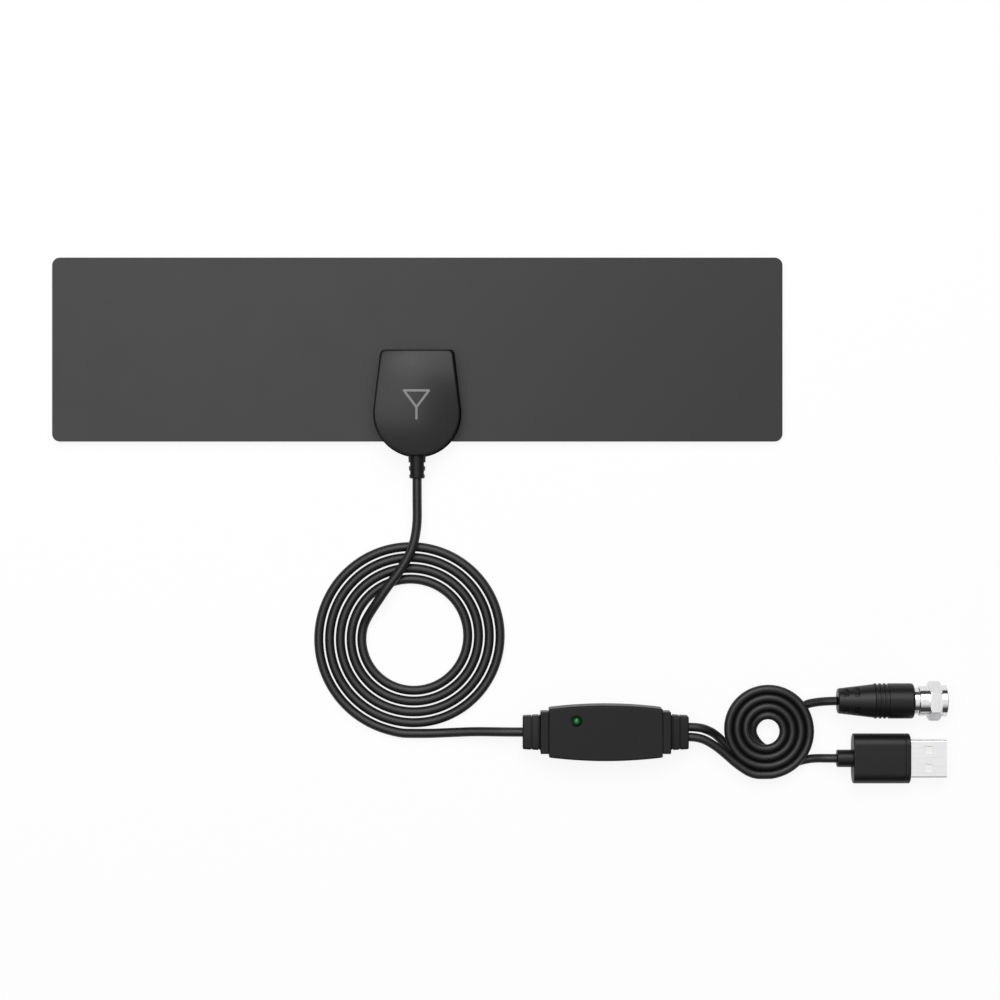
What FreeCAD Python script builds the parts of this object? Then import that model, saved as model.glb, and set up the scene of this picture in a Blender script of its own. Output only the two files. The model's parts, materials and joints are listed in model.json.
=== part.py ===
"""Flat indoor TV antenna: a thin panel with a junction housing, a coiled coax lead, an in-line
amplifier, and two tails that end in an F plug and a USB plug.

Millimetres. The antenna lies on its back: +Z is up from the table, +Y is the panel's upper edge.
The origin is on the housing's back face, under the centre of the housing's round lower end.
"""
import FreeCAD, Part
import math
import os

Vec = FreeCAD.Vector
X_AXIS = Vec(1, 0, 0)
Y_AXIS = Vec(0, 1, 0)
Z_AXIS = Vec(0, 0, 1)

# Panel: two plastic sheets with the foil dipole between them
panel_width = 235.0
panel_height = 59.2
panel_corner_radius = 2.5
sheet_thickness = 0.45
foil_thickness = 0.1
foil_margin = 4.0
foil_corner_radius = 3.0
foil_start = 17.0
foil_tab_width = 6.0
foil_tab_end = 1.6

# Junction housing
housing_round_radius = 14.2
housing_top_y = 20.5
housing_top_width = 23.7
housing_corner_radius = 1.1
housing_inner_corner_radius = 0.5
housing_overhang = 5.1
housing_height = 11.2
housing_dome_radius = 80.0
housing_draft = 0.5
housing_wall = 1.5
housing_edge_fillet = 1.0
rear_cover_thickness = 1.6
rear_cover_chamfer = 0.5
panel_edge_clearance = 0.2
post_radius = 1.5
post_reach = 3.0
post_clearance = 0.05
post_hole_clearance = 0.15
boss_wall = 0.9
upper_post_x = 7.6
upper_post_y = 15.6
lower_post_x = 8.2
lower_post_y = -4.6

# Matching board, ferrite core and feed rivets inside the housing
board_thickness = 1.0
matching_board_width = 17.0
matching_board_height = 13.0
matching_board_y = 5.5
balun_length = 8.0
balun_width = 4.6
balun_height = 3.2
balun_bore_radius = 0.8
balun_y = 8.6
rivet_x = 4.0
rivet_y = 2.5
rivet_radius = 0.9
rivet_head_radius = 1.7
rivet_head_thickness = 0.5
rivet_clearance = 0.05

# Cord gland with side notches
gland_groove_radius = 2.2
gland_flange_radius = 2.8
gland_tip_radius = 2.45
gland_inner_radius = 2.45
gland_inner_flange = 1.2
gland_length = 6.8
gland_first_notch = 1.6
gland_notch_width = 1.3
gland_notch_pitch = 2.65
gland_clearance = 0.05

# Main cord
main_cord_diameter = 3.0
main_turn_gap = 0.474
main_coil_turns = 4.25
main_coil_first_radius = 16.17
main_coil_x = -1.7
main_coil_y = -72.15
main_step_run = 4.0
main_lead_in_points = [
    (0.0, -28.0, 5.0),
    (0.1, -36.0, 4.75),
    (-1.4, -43.6, 4.95),
    (-5.3, -50.4, 5.0),
    (-9.4, -55.6, 5.0),
    (-12.5, -60.2, 4.7),
    (-15.3, -64.4, 3.1),
]
main_lead_out_run = 6.0
main_lead_out_points = [
    (11.0, -102.75, 1.9),
    (18.0, -102.35, 3.0),
    (24.6, -102.3, 4.3),
]
main_lead_out_end_run = 4.3

# In-line amplifier
amplifier_x = 33.85
amplifier_y = -102.32
amplifier_height = 10.0
amplifier_body_length = 36.3
amplifier_end_width = 15.5
amplifier_middle_width = 17.8
amplifier_wall = 1.5
amplifier_bevel = 0.4
collar_length = 2.7
collar_width = 13.4
collar_height = 8.6
grip_length = 5.7
grip_width = 10.8
grip_height = 7.4
grip_groove_starts = [2.6, 4.9]
grip_groove_width = 0.5
grip_groove_depth = 0.25
grip_neck_width = 8.0
grip_neck_height = 5.0
grip_flange_width = 10.4
grip_flange_height = 6.4
grip_flange_thickness = 1.4
cover_lip_length = 22.0
cover_lip_height = 1.0
cover_lip_thickness = 0.7
cover_lip_clearance = 0.1
amplifier_board_length = 29.0
amplifier_board_width = 11.0
amplifier_board_lift = 1.8
board_post_radius = 1.2
board_post_inset = 2.2
chip_length = 5.0
chip_width = 4.0
chip_height = 1.5
capacitor_radius = 2.0
capacitor_height = 3.2
capacitor_offset = 8.5
resistor_length = 2.0
resistor_width = 1.25
resistor_height = 0.6
resistor_pitch = 2.6
resistor_count = 3
led_radius = 1.5
led_flange_radius = 1.9
led_flange_thickness = 0.8
led_from_end = 8.77
led_offset_y = 3.87
led_rise = 0.3
led_leg_width = 0.5
led_leg_spacing = 1.27
led_hole_clearance = 0.05
led_rim_chamfer = 0.35

# Tails and the small coil
tail_diameter = 2.65
tail_spacing = 3.2
tail_turn_gap = 0.06
tail_layer_gap = 0.1
tail_coil_turns = 3
tail_coil_first_radius = 14.5
tail_coil_from_amplifier_x = 25.33
tail_coil_from_amplifier_y = 0.66
tail_first_run = 3.4
tail_step_run = 4.6
coax_in_points = [
    (-17.6, -4.4, 4.85),
    (-13.6, -7.5, 4.45),
    (-9.7, -11.1, 4.2),
]
coax_out_first_run = 2.3
coax_out_points = [
    (4.6, -3.75, 3.8),
    (5.1, -0.6, 3.35),
    (4.1, 2.7, 2.85),
    (1.2, 4.6, 2.35),
    (-2.1, 4.1, 1.8),
    (-4.0, 1.3, 1.38),
    (-3.9, -2.4, 1.34),
    (-1.9, -6.0, 1.325),
    (1.9, -7.7, 1.325),
    (5.8, -6.6, 1.335),
    (8.2, -3.3, 1.325),
    (9.0, 0.9, 1.335),
    (10.0, 5.0, 1.325),
    (12.4, 8.1, 1.4),
    (15.9, 9.3, 3.0),
]
coax_out_end_run = 3.4
coax_out_end_rise = 0.35
power_points = [
    (-18.4, -0.5, 3.8),
    (-15.6, -2.5, 1.65),
    (-11.8, -6.0, 1.325),
    (-7.4, -9.9, 1.335),
    (-2.2, -12.2, 1.325),
    (3.4, -12.5, 1.335),
    (8.4, -11.0, 1.325),
    (12.8, -9.75, 1.345),
    (15.9, -9.3, 2.5),
]
power_end_run = 3.4
power_end_rise = 0.2

# F plug
f_plug_from_coil_x = 22.45
f_plug_from_coil_y = 9.38
boot_length = 24.32
boot_start_radius = 4.0
boot_taper_radius = 5.4
boot_taper_length = 11.7
boot_radius = 5.65
boot_ring_count = 3
boot_ring_width = 0.75
boot_ring_pitch = 1.47
boot_ring_groove_radius = 5.3
boot_end_round = 0.8
boot_slot_starts = [1.6, 5.05]
boot_slot_length = 1.6
boot_slot_depth = 0.7
boot_slot_count = 4
boot_web_width = 3.4
post_embed = 9.0
post_embed_radius = 3.6
post_neck_radius = 4.2
post_neck_length = 1.48
spigot_radius = 3.4
post_flange_radius = 4.0
post_flange_thickness = 0.9
nut_running_clearance = 0.08
nut_end_play = 0.12
nut_rear_wall = 1.4
nut_collar_radius = 4.75
nut_collar_length = 3.05
nut_hex_across_flats = 11.0
nut_hex_length = 3.86
nut_hex_chamfer = 0.6
nut_lip_radius = 5.0
nut_lip_length = 1.99
nut_lip_chamfer = 0.35
nut_thread_radius = 4.36
insulator_radius = 2.3
insulator_length = 5.0
pin_root_radius = 0.7
pin_root_setback = 1.5
pin_shoulder_length = 0.3
pin_radius = 0.5
pin_tip_radius = 0.3
pin_tip_length = 0.2
pin_setback = 0.5

# USB plug
usb_from_coil_x = 22.42
usb_from_coil_y = -9.2
usb_neck_radius = 2.8
usb_neck_length = 5.06
usb_grip_length = 18.36
usb_grip_width = 16.0
usb_grip_thickness = 8.0
usb_grip_side_radius = 3.7
usb_grip_bevel = 0.4
usb_shell_length = 11.6
usb_shell_embed = 5.0
usb_shell_width = 12.0
usb_shell_height = 4.5
usb_shell_wall = 0.3
usb_shell_corner_radius = 0.5
usb_window_size = 2.5
usb_window_from_grip = 5.73
usb_window_spacing = 5.7
usb_tongue_thickness = 1.9
usb_tongue_setback = 0.4
usb_block_length = 5.6
usb_contact_width = 1.0
usb_contact_thickness = 0.25
usb_contact_pitch = 2.3
usb_contact_count = 4
usb_contact_length = 8.0
usb_contact_setback = 1.0

# The share of the shorter run that each arc of a cord takes
arc_share = 0.45

# Heights and places that follow from the sizes above
panel_back_z = rear_cover_thickness
panel_middle_z = panel_back_z + sheet_thickness
panel_front_z = panel_middle_z + sheet_thickness
panel_bottom_y = housing_overhang - housing_round_radius
panel_top_y = panel_bottom_y + panel_height
gland_axis_z = panel_front_z + gland_inner_radius + gland_clearance
gland_end = Vec(0, -housing_round_radius - gland_length, gland_axis_z)
main_pitch = main_cord_diameter + main_turn_gap
main_coil_centre = Vec(main_coil_x, main_coil_y, 0)
main_coil_last_radius = main_coil_first_radius + main_pitch * main_coil_turns
amplifier_axis_z = amplifier_height / 2
amplifier_inlet = Vec(amplifier_x, amplifier_y, amplifier_axis_z)
amplifier_length = 2 * grip_length + 2 * collar_length + amplifier_body_length
amplifier_outlet = amplifier_inlet + X_AXIS * amplifier_length
body_start_x = amplifier_x + grip_length + collar_length
body_end_x = body_start_x + amplifier_body_length
board_top_z = amplifier_wall + amplifier_board_lift + board_thickness
tail_pitch = tail_diameter + tail_turn_gap
tail_upper_z = tail_diameter * 1.5 + tail_layer_gap
tail_coil_centre = Vec(
    amplifier_outlet.x + tail_coil_from_amplifier_x,
    amplifier_y + tail_coil_from_amplifier_y,
    0,
)
tail_coil_last_radius = tail_coil_first_radius - tail_pitch * tail_coil_turns
f_plug_start = tail_coil_centre + Vec(f_plug_from_coil_x, f_plug_from_coil_y, boot_radius)
boot_end_x = f_plug_start.x + boot_length
nut_start_x = boot_end_x + post_neck_length + nut_end_play
post_face_x = nut_start_x + nut_rear_wall + nut_end_play + post_flange_thickness
nut_end_x = nut_start_x + nut_collar_length + nut_hex_length + nut_lip_length
usb_axis_z = usb_grip_thickness / 2
usb_start = tail_coil_centre + Vec(usb_from_coil_x, usb_from_coil_y, usb_axis_z)
usb_grip_start_x = usb_start.x + usb_neck_length
usb_grip_end_x = usb_grip_start_x + usb_grip_length
usb_shell_end_x = usb_grip_end_x + usb_shell_length


# Shared shapes


def segment(start, end):
    return Part.LineSegment(start, end).toShape()


def arc(start, middle, end):
    return Part.Arc(start, middle, end).toShape()


def box(low, high):
    size = high - low
    return Part.makeBox(size.x, size.y, size.z, low)


def corner_arc(before, corner, after, radius):
    """Start, middle and end of the arc that rounds one corner."""
    arriving = (corner - before).normalize()
    leaving = (after - corner).normalize()
    half_turn = arriving.getAngle(leaving) / 2
    reach = radius * math.tan(half_turn)
    inward = (leaving - arriving).normalize()
    centre = corner + inward * (radius / math.cos(half_turn))
    return corner - arriving * reach, centre - inward * radius, corner + leaving * reach


def rounded_face(corners, radius):
    """Flat face inside a convex loop of corners, each rounded with one radius."""
    count = len(corners)
    arcs = []
    for i in range(count):
        arcs.append(corner_arc(corners[i - 1], corners[i], corners[(i + 1) % count], radius))
    edges = []
    for i in range(count):
        edges.append(arc(*arcs[i]))
        edges.append(segment(arcs[i][2], arcs[(i + 1) % count][0]))
    return Part.Face(Part.Wire(edges))


def rounded_plate(low, high, radius):
    """Plate with rounded upright corners, from a low to a high corner."""
    corners = [
        low,
        Vec(high.x, low.y, low.z),
        Vec(high.x, high.y, low.z),
        Vec(low.x, high.y, low.z),
    ]
    return rounded_face(corners, radius).extrude(Z_AXIS * (high.z - low.z))


def turned(profile, start):
    """Solid turned about the X axis through start, from (distance along X, radius) points."""
    points = [start + Vec(x, 0, r) for x, r in profile]
    first = start + X_AXIS * profile[0][0]
    last = start + X_AXIS * profile[-1][0]
    loop = Part.makePolygon([first] + points + [last, first])
    return Part.Face(loop).revolve(start, X_AXIS, 360)


def rod_x(start, length, radius):
    return Part.makeCylinder(radius, length, start, X_AXIS)


def rod_z(x, y, low_z, high_z, radius):
    return Part.makeCylinder(radius, high_z - low_z, Vec(x, y, low_z))


def cord_tube(name, points, diameter):
    """Tube along straight runs joined by the largest tangent arcs that the runs allow."""
    edges = []
    radii = []
    here = points[0]
    for before, corner, after in zip(points, points[1:], points[2:]):
        shorter_run = min((corner - before).Length, (after - corner).Length)
        turn = (corner - before).getAngle(after - corner)
        radius = arc_share * shorter_run / math.tan(turn / 2)
        start, middle, end = corner_arc(before, corner, after, radius)
        edges.append(segment(here, start))
        edges.append(arc(start, middle, end))
        radii.append(radius)
        here = end
    edges.append(segment(here, points[-1]))
    path = Part.Wire(edges)
    section = Part.Wire(Part.makeCircle(diameter / 2, points[0], points[1] - points[0]))
    tube = path.makePipeShell([section], True, False)
    expected = math.pi * diameter**2 / 4 * path.Length
    print(f"{name}: length {path.Length:.1f}, volume share {tube.Volume / expected:.4f}")
    print("  radii " + " ".join(f"{radius:.1f}" for radius in radii))
    return tube


def spiral_face(centre, first_radius, growth, start_angle, z):
    """Face inside one turn of a spiral drawn as two half circles, closed by a radial step."""
    out = Vec(math.cos(start_angle), math.sin(start_angle), 0)
    side = Vec(-out.y, out.x, 0)
    base = Vec(centre.x, centre.y, z)
    start = base + out * first_radius
    opposite = base - out * (first_radius + growth / 2)
    end = base + out * (first_radius + growth)
    first_middle = (start + opposite) / 2 + side * (first_radius + growth / 4)
    second_middle = (opposite + end) / 2 - side * (first_radius + growth * 3 / 4)
    edges = [
        arc(start, first_middle, opposite),
        arc(opposite, second_middle, end),
        segment(end, start),
    ]
    return Part.Face(Part.Wire(edges))


def points_from(anchor, offsets):
    return [anchor + Vec(*offset) for offset in offsets]


# Panel


def post_places():
    places = []
    for side in (-1, 1):
        places.append((side * upper_post_x, upper_post_y))
        places.append((side * lower_post_x, lower_post_y))
    return places


def panel_sheet(low_z):
    """One sheet of the panel, with holes for the cover's posts and the feed rivets."""
    sheet = rounded_plate(
        Vec(-panel_width / 2, panel_bottom_y, low_z),
        Vec(panel_width / 2, panel_top_y, low_z + sheet_thickness),
        panel_corner_radius,
    )
    for x, y in post_places():
        hole_radius = post_radius + post_hole_clearance
        sheet = sheet.cut(rod_z(x, y, low_z, low_z + sheet_thickness, hole_radius))
    for x in (-rivet_x, rivet_x):
        hole_radius = rivet_radius + rivet_clearance
        sheet = sheet.cut(rod_z(x, rivet_y, low_z, low_z + sheet_thickness, hole_radius))
    return sheet


def dipole_blank():
    """Right half of the foil dipole: a rounded plate with a feed tab towards the middle."""
    low_z = panel_middle_z - foil_thickness
    plate = rounded_plate(
        Vec(foil_start, panel_bottom_y + foil_margin, low_z),
        Vec(panel_width / 2 - foil_margin, panel_top_y - foil_margin, panel_middle_z),
        foil_corner_radius,
    )
    tab = box(
        Vec(foil_tab_end, rivet_y - foil_tab_width / 2, low_z),
        Vec(foil_start + foil_corner_radius, rivet_y + foil_tab_width / 2, panel_middle_z),
    )
    return plate.fuse(tab).removeSplitter()


def panel_parts():
    low_z = panel_middle_z - foil_thickness
    blank = dipole_blank()
    mirrored = blank.mirror(Vec(0, 0, 0), X_AXIS)
    hole_radius = rivet_radius + rivet_clearance
    right = blank.cut(rod_z(rivet_x, rivet_y, low_z, panel_middle_z, hole_radius))
    left = mirrored.cut(rod_z(-rivet_x, rivet_y, low_z, panel_middle_z, hole_radius))
    return {
        "panel_rear_sheet": panel_sheet(panel_back_z).cut(blank).cut(mirrored),
        "panel_front_sheet": panel_sheet(panel_middle_z),
        "dipole_foil_left": left,
        "dipole_foil_right": right,
    }


# Junction housing


def housing_wire(inset, corner_radius, z):
    """Shield outline, inset all round: straight sides that run tangent into a round lower end."""
    shoulder = Vec(housing_top_width / 2, housing_top_y, 0)
    lean = math.atan2(shoulder.y, shoulder.x) - math.acos(housing_round_radius / shoulder.Length)
    radius = housing_round_radius - inset
    top_y = housing_top_y - inset
    tangent = Vec(radius * math.cos(lean), radius * math.sin(lean), z)
    upward = Vec(-math.sin(lean), math.cos(lean), 0)
    corner = tangent + upward * ((top_y - tangent.y) / upward.y)
    right = corner_arc(tangent, corner, Vec(0, top_y, z), corner_radius)
    left = [Vec(-point.x, point.y, z) for point in right]
    bottom = Vec(0, -radius, z)
    diagonal = radius * math.sqrt(0.5)
    left_tangent = Vec(-tangent.x, tangent.y, z)
    edges = [
        segment(tangent, right[0]),
        arc(*right),
        segment(right[2], left[2]),
        arc(left[2], left[1], left[0]),
        segment(left[0], left_tangent),
        arc(left_tangent, Vec(-diagonal, -diagonal, z), bottom),
        arc(bottom, Vec(diagonal, -diagonal, z), tangent),
    ]
    return Part.Wire(edges)


def housing_block(inset, corner_radius, dome_inset):
    """Drafted shield block under the dome, from the panel's face up."""
    lower = housing_wire(inset, corner_radius, panel_front_z)
    upper = housing_wire(inset + housing_draft, corner_radius, housing_height)
    block = Part.makeLoft([lower, upper], True, True)
    dome_y = (housing_top_y - housing_round_radius) / 2
    dome_centre = Vec(0, dome_y, housing_height - housing_dome_radius)
    return block.common(Part.makeSphere(housing_dome_radius - dome_inset, dome_centre))


def top_edges(solid):
    """Edges of the domed top face, the face that reaches highest."""
    highest = max(solid.Faces, key=lambda face: face.BoundBox.ZMax)
    return highest.Edges


def gland_inner_y():
    """Where the gland's inner flange starts, clear of the curved and drafted wall."""
    inner_radius = housing_round_radius - housing_wall - housing_draft
    return -math.sqrt(inner_radius**2 - gland_inner_radius**2)


def gland_passage():
    """Upright slot through the round end, rounded at its top, that the gland's groove sits in."""
    radius = gland_groove_radius + gland_clearance
    start_y = -housing_round_radius - housing_wall
    end_y = gland_inner_y()
    slot = box(Vec(-radius, start_y, panel_front_z), Vec(radius, end_y, gland_axis_z))
    round_top = Part.makeCylinder(radius, end_y - start_y, Vec(0, start_y, gland_axis_z), Y_AXIS)
    return slot.fuse(round_top)


def housing_front_cover():
    block = housing_block(0, housing_corner_radius, 0)
    block = block.makeFillet(housing_edge_fillet, top_edges(block))
    cavity = housing_block(housing_wall, housing_inner_corner_radius, housing_wall)
    cover = block.cut(cavity)
    bore_radius = post_radius + post_clearance
    for x, y in post_places():
        boss = rod_z(x, y, panel_front_z, housing_height, bore_radius + boss_wall)
        bore = rod_z(x, y, panel_front_z, panel_front_z + post_reach + post_clearance, bore_radius)
        cover = cover.fuse(boss.common(block)).cut(bore)
    return cover.cut(gland_passage()).removeSplitter()


def housing_rear_cover():
    """Flat back with a raised lip past the panel's edge, posts, rivet recesses and the gland saddle."""
    outline = Part.Face(housing_wire(0, housing_corner_radius, 0))
    plate = outline.extrude(Z_AXIS * rear_cover_thickness)
    lower = [edge for edge in plate.Edges if edge.BoundBox.ZMax < rear_cover_chamfer]
    cover = plate.makeChamfer(rear_cover_chamfer, lower)
    lip_top_y = panel_bottom_y - panel_edge_clearance
    lip_window = box(
        Vec(-housing_round_radius, -housing_round_radius, panel_back_z),
        Vec(housing_round_radius, lip_top_y, panel_front_z),
    )
    cover = cover.fuse(outline.extrude(Z_AXIS * panel_front_z).common(lip_window))
    for x, y in post_places():
        cover = cover.fuse(rod_z(x, y, 0, panel_front_z + post_reach, post_radius))
    saddle_half = gland_groove_radius
    saddle = box(
        Vec(-saddle_half, -housing_round_radius, panel_back_z),
        Vec(saddle_half, -housing_round_radius + housing_wall, gland_axis_z),
    )
    wall_shape = Part.Face(housing_wire(housing_draft, housing_corner_radius, 0))
    saddle = saddle.common(wall_shape.extrude(Z_AXIS * gland_axis_z))
    groove = Part.makeCylinder(
        gland_groove_radius + gland_clearance,
        2 * housing_round_radius,
        Vec(0, -2 * housing_round_radius, gland_axis_z),
        Y_AXIS,
    )
    cover = cover.fuse(saddle.cut(groove))
    recess_radius = rivet_head_radius + rivet_clearance
    for x in (-rivet_x, rivet_x):
        recess = rod_z(x, rivet_y, panel_back_z - rivet_head_thickness, panel_back_z, recess_radius)
        cover = cover.cut(recess)
    return cover.removeSplitter()


def matching_board():
    low = Vec(-matching_board_width / 2, matching_board_y - matching_board_height / 2, panel_front_z)
    high = Vec(
        matching_board_width / 2,
        matching_board_y + matching_board_height / 2,
        panel_front_z + board_thickness,
    )
    board = box(low, high)
    for x in (-rivet_x, rivet_x):
        board = board.cut(rod_z(x, rivet_y, low.z, high.z, rivet_radius + rivet_clearance))
    return board


def balun_core():
    """Two-hole ferrite core that lies on the board."""
    base_z = panel_front_z + board_thickness
    low = Vec(-balun_length / 2, balun_y - balun_width / 2, base_z)
    core = box(low, Vec(balun_length / 2, balun_y + balun_width / 2, base_z + balun_height))
    for x in (-balun_length / 4, balun_length / 4):
        start = Vec(x, low.y, base_z + balun_height / 2)
        core = core.cut(Part.makeCylinder(balun_bore_radius, balun_width, start, Y_AXIS))
    return core


def feed_rivets():
    """Two rivets, each with a head under the panel and a formed head on the board."""
    rivets = []
    board_top = panel_front_z + board_thickness
    for x in (-rivet_x, rivet_x):
        shank = rod_z(x, rivet_y, panel_back_z, board_top, rivet_radius)
        head = rod_z(x, rivet_y, panel_back_z - rivet_head_thickness, panel_back_z, rivet_head_radius)
        formed = rod_z(x, rivet_y, board_top, board_top + rivet_head_thickness, rivet_head_radius)
        rivets.append(shank.fuse([head, formed]).removeSplitter())
    return Part.makeCompound(rivets)


def cord_gland():
    """Tapered strain relief with notches in both sides and a groove that the housing's wall sits in."""
    wall_y = -housing_round_radius
    inner_y = gland_inner_y()
    taper = Part.makeCone(
        gland_flange_radius, gland_tip_radius, gland_length, Vec(0, wall_y, gland_axis_z), -Y_AXIS
    )
    groove = Part.makeCylinder(
        gland_groove_radius, inner_y - wall_y, Vec(0, wall_y, gland_axis_z), Y_AXIS
    )
    flange = Part.makeCylinder(
        gland_inner_radius, gland_inner_flange, Vec(0, inner_y, gland_axis_z), Y_AXIS
    )
    gland = taper.fuse([groove, flange])
    for row in range(2):
        start_y = wall_y - gland_first_notch - row * gland_notch_pitch
        for side in (-1, 1):
            inner = Vec(side * gland_groove_radius, start_y - gland_notch_width, 0)
            outer = Vec(side * 2 * gland_flange_radius, start_y, housing_height)
            low = Vec(min(inner.x, outer.x), inner.y, inner.z)
            high = Vec(max(inner.x, outer.x), outer.y, outer.z)
            gland = gland.cut(box(low, high))
    return gland.removeSplitter()


def housing_parts():
    return {
        "housing_front_cover": housing_front_cover(),
        "housing_rear_cover": housing_rear_cover(),
        "matching_board": matching_board(),
        "balun_core": balun_core(),
        "feed_rivets": feed_rivets(),
        "cord_gland": cord_gland(),
    }


# Main cord


def main_cord_parts():
    """Lead from the gland over the coil, the flat coil from its inside out, and the lead to the amplifier."""
    radius = main_cord_diameter / 2
    first_angle = math.pi
    last_angle = first_angle + 2 * math.pi * main_coil_turns
    coil_start = main_coil_centre + Vec(-main_coil_first_radius, 0, radius)
    last_out = Vec(math.cos(last_angle), math.sin(last_angle), 0)
    coil_end = main_coil_centre + last_out * main_coil_last_radius + Z_AXIS * radius
    onward = Vec(-last_out.y, last_out.x, 0)
    lead_in = [gland_end] + points_from(Vec(0, 0, 0), main_lead_in_points)
    lead_in += [coil_start + Y_AXIS * main_step_run, coil_start]
    lead_out = [coil_end, coil_end + onward * main_lead_out_run]
    lead_out += points_from(Vec(0, 0, 0), main_lead_out_points)
    lead_out += [amplifier_inlet - X_AXIS * main_lead_out_end_run, amplifier_inlet]
    outer = spiral_face(
        main_coil_centre, main_coil_last_radius - main_pitch + radius, main_pitch, last_angle, 0
    )
    inner = spiral_face(main_coil_centre, main_coil_first_radius - radius, main_pitch, first_angle, 0)
    return {
        "main_cord_lead_in": cord_tube("main_cord_lead_in", lead_in, main_cord_diameter),
        "main_cord_coil": outer.cut(inner).extrude(Z_AXIS * main_cord_diameter),
        "main_cord_lead_out": cord_tube("main_cord_lead_out", lead_out, main_cord_diameter),
    }


# In-line amplifier


def bowed_face(inset, z):
    """Plan of the case: square ends and sides bowed outwards."""
    left = body_start_x + inset
    right = body_end_x - inset
    middle = (left + right) / 2
    end_half = amplifier_end_width / 2 - inset
    middle_half = amplifier_middle_width / 2 - inset
    lower_left = Vec(left, amplifier_y - end_half, z)
    lower_right = Vec(right, amplifier_y - end_half, z)
    upper_right = Vec(right, amplifier_y + end_half, z)
    upper_left = Vec(left, amplifier_y + end_half, z)
    edges = [
        arc(lower_left, Vec(middle, amplifier_y - middle_half, z), lower_right),
        segment(lower_right, upper_right),
        arc(upper_right, Vec(middle, amplifier_y + middle_half, z), upper_left),
        segment(upper_left, lower_left),
    ]
    return Part.Face(Part.Wire(edges))


def bevelled(half_shell, top_z):
    """Bevel the two long edges of a half shell's top."""
    long_edges = []
    for edge in half_shell.Edges:
        bounds = edge.BoundBox
        if bounds.ZMin > top_z - amplifier_bevel and bounds.XLength > bounds.YLength:
            long_edges.append(edge)
    return half_shell.makeChamfer(amplifier_bevel, long_edges)


def collar(start_x):
    low = Vec(start_x, amplifier_y - collar_width / 2, amplifier_axis_z)
    top_z = amplifier_axis_z + collar_height / 2
    block = box(low, Vec(start_x + collar_length, amplifier_y + collar_width / 2, top_z))
    return bevelled(block, top_z)


def amplifier_half():
    """Upper half of the case: bowed body with a collar at each end, hollow, open at the grips."""
    half_height = amplifier_height / 2
    body = bowed_face(0, amplifier_axis_z).extrude(Z_AXIS * half_height)
    body = bevelled(body, amplifier_height)
    shell = body.fuse([collar(body_start_x - collar_length), collar(body_end_x)])
    cavity = bowed_face(amplifier_wall, amplifier_axis_z)
    shell = shell.cut(cavity.extrude(Z_AXIS * (half_height - amplifier_wall)))
    passage = box(
        Vec(amplifier_x, amplifier_y - grip_neck_width / 2, amplifier_axis_z),
        Vec(
            amplifier_outlet.x,
            amplifier_y + grip_neck_width / 2,
            amplifier_axis_z + grip_neck_height / 2,
        ),
    )
    return shell.cut(passage).removeSplitter()


def board_corners():
    middle = (body_start_x + body_end_x) / 2
    reach_x = amplifier_board_length / 2 - board_post_inset
    reach_y = amplifier_board_width / 2 - board_post_inset
    corners = []
    for side_x in (-1, 1):
        for side_y in (-1, 1):
            corners.append((middle + side_x * reach_x, amplifier_y + side_y * reach_y))
    return corners


def led_place():
    return body_start_x + led_from_end, amplifier_y + led_offset_y


def amplifier_top_cover():
    x, y = led_place()
    roof_z = amplifier_height - amplifier_wall
    hole_radius = led_radius + led_hole_clearance
    hole = rod_z(x, y, roof_z, amplifier_height, hole_radius)
    rim = Part.makeCone(
        hole_radius,
        hole_radius + led_rim_chamfer,
        led_rim_chamfer,
        Vec(x, y, amplifier_height - led_rim_chamfer),
    )
    return amplifier_half().cut(hole.fuse(rim))


def amplifier_bottom_cover():
    """Lower half, with posts under the board and a locating lip along both sides."""
    cover = amplifier_half().mirror(Vec(0, 0, amplifier_axis_z), Z_AXIS)
    for x, y in board_corners():
        top_z = amplifier_wall + amplifier_board_lift
        cover = cover.fuse(rod_z(x, y, 0, top_z, board_post_radius))
    outer = bowed_face(amplifier_wall + cover_lip_clearance, amplifier_axis_z)
    inner = bowed_face(amplifier_wall + cover_lip_clearance + cover_lip_thickness, amplifier_axis_z)
    ring = outer.cut(inner).extrude(Z_AXIS * cover_lip_height)
    rooted = bowed_face(amplifier_wall, amplifier_axis_z).cut(inner)
    ring = ring.fuse(rooted.extrude(Z_AXIS * -cover_lip_height))
    middle = (body_start_x + body_end_x) / 2
    window = box(
        Vec(middle - cover_lip_length / 2, amplifier_y - amplifier_middle_width / 2, 0),
        Vec(middle + cover_lip_length / 2, amplifier_y + amplifier_middle_width / 2, amplifier_height),
    )
    return cover.fuse(ring.common(window)).removeSplitter()


def centred_box(start_x, length, width, height):
    low = Vec(start_x, amplifier_y - width / 2, amplifier_axis_z - height / 2)
    return box(low, low + Vec(length, width, height))


def inlet_grip():
    """Ribbed block outside the collar, a neck through it, and a flange that holds it inside the case."""
    block = centred_box(amplifier_x, grip_length, grip_width, grip_height)
    for groove_start in grip_groove_starts:
        start_x = amplifier_x + groove_start
        ring = centred_box(start_x, grip_groove_width, grip_width, grip_height)
        core = centred_box(
            start_x,
            grip_groove_width,
            grip_width - 2 * grip_groove_depth,
            grip_height - 2 * grip_groove_depth,
        )
        block = block.cut(ring.cut(core))
    neck_start = amplifier_x + grip_length
    neck_length = collar_length + amplifier_wall
    neck = centred_box(neck_start, neck_length, grip_neck_width, grip_neck_height)
    flange = centred_box(
        neck_start + neck_length, grip_flange_thickness, grip_flange_width, grip_flange_height
    )
    return block.fuse([neck, flange]).removeSplitter()


def amplifier_board():
    middle = (body_start_x + body_end_x) / 2
    low = Vec(
        middle - amplifier_board_length / 2,
        amplifier_y - amplifier_board_width / 2,
        board_top_z - board_thickness,
    )
    return box(low, low + Vec(amplifier_board_length, amplifier_board_width, board_thickness))


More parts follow.
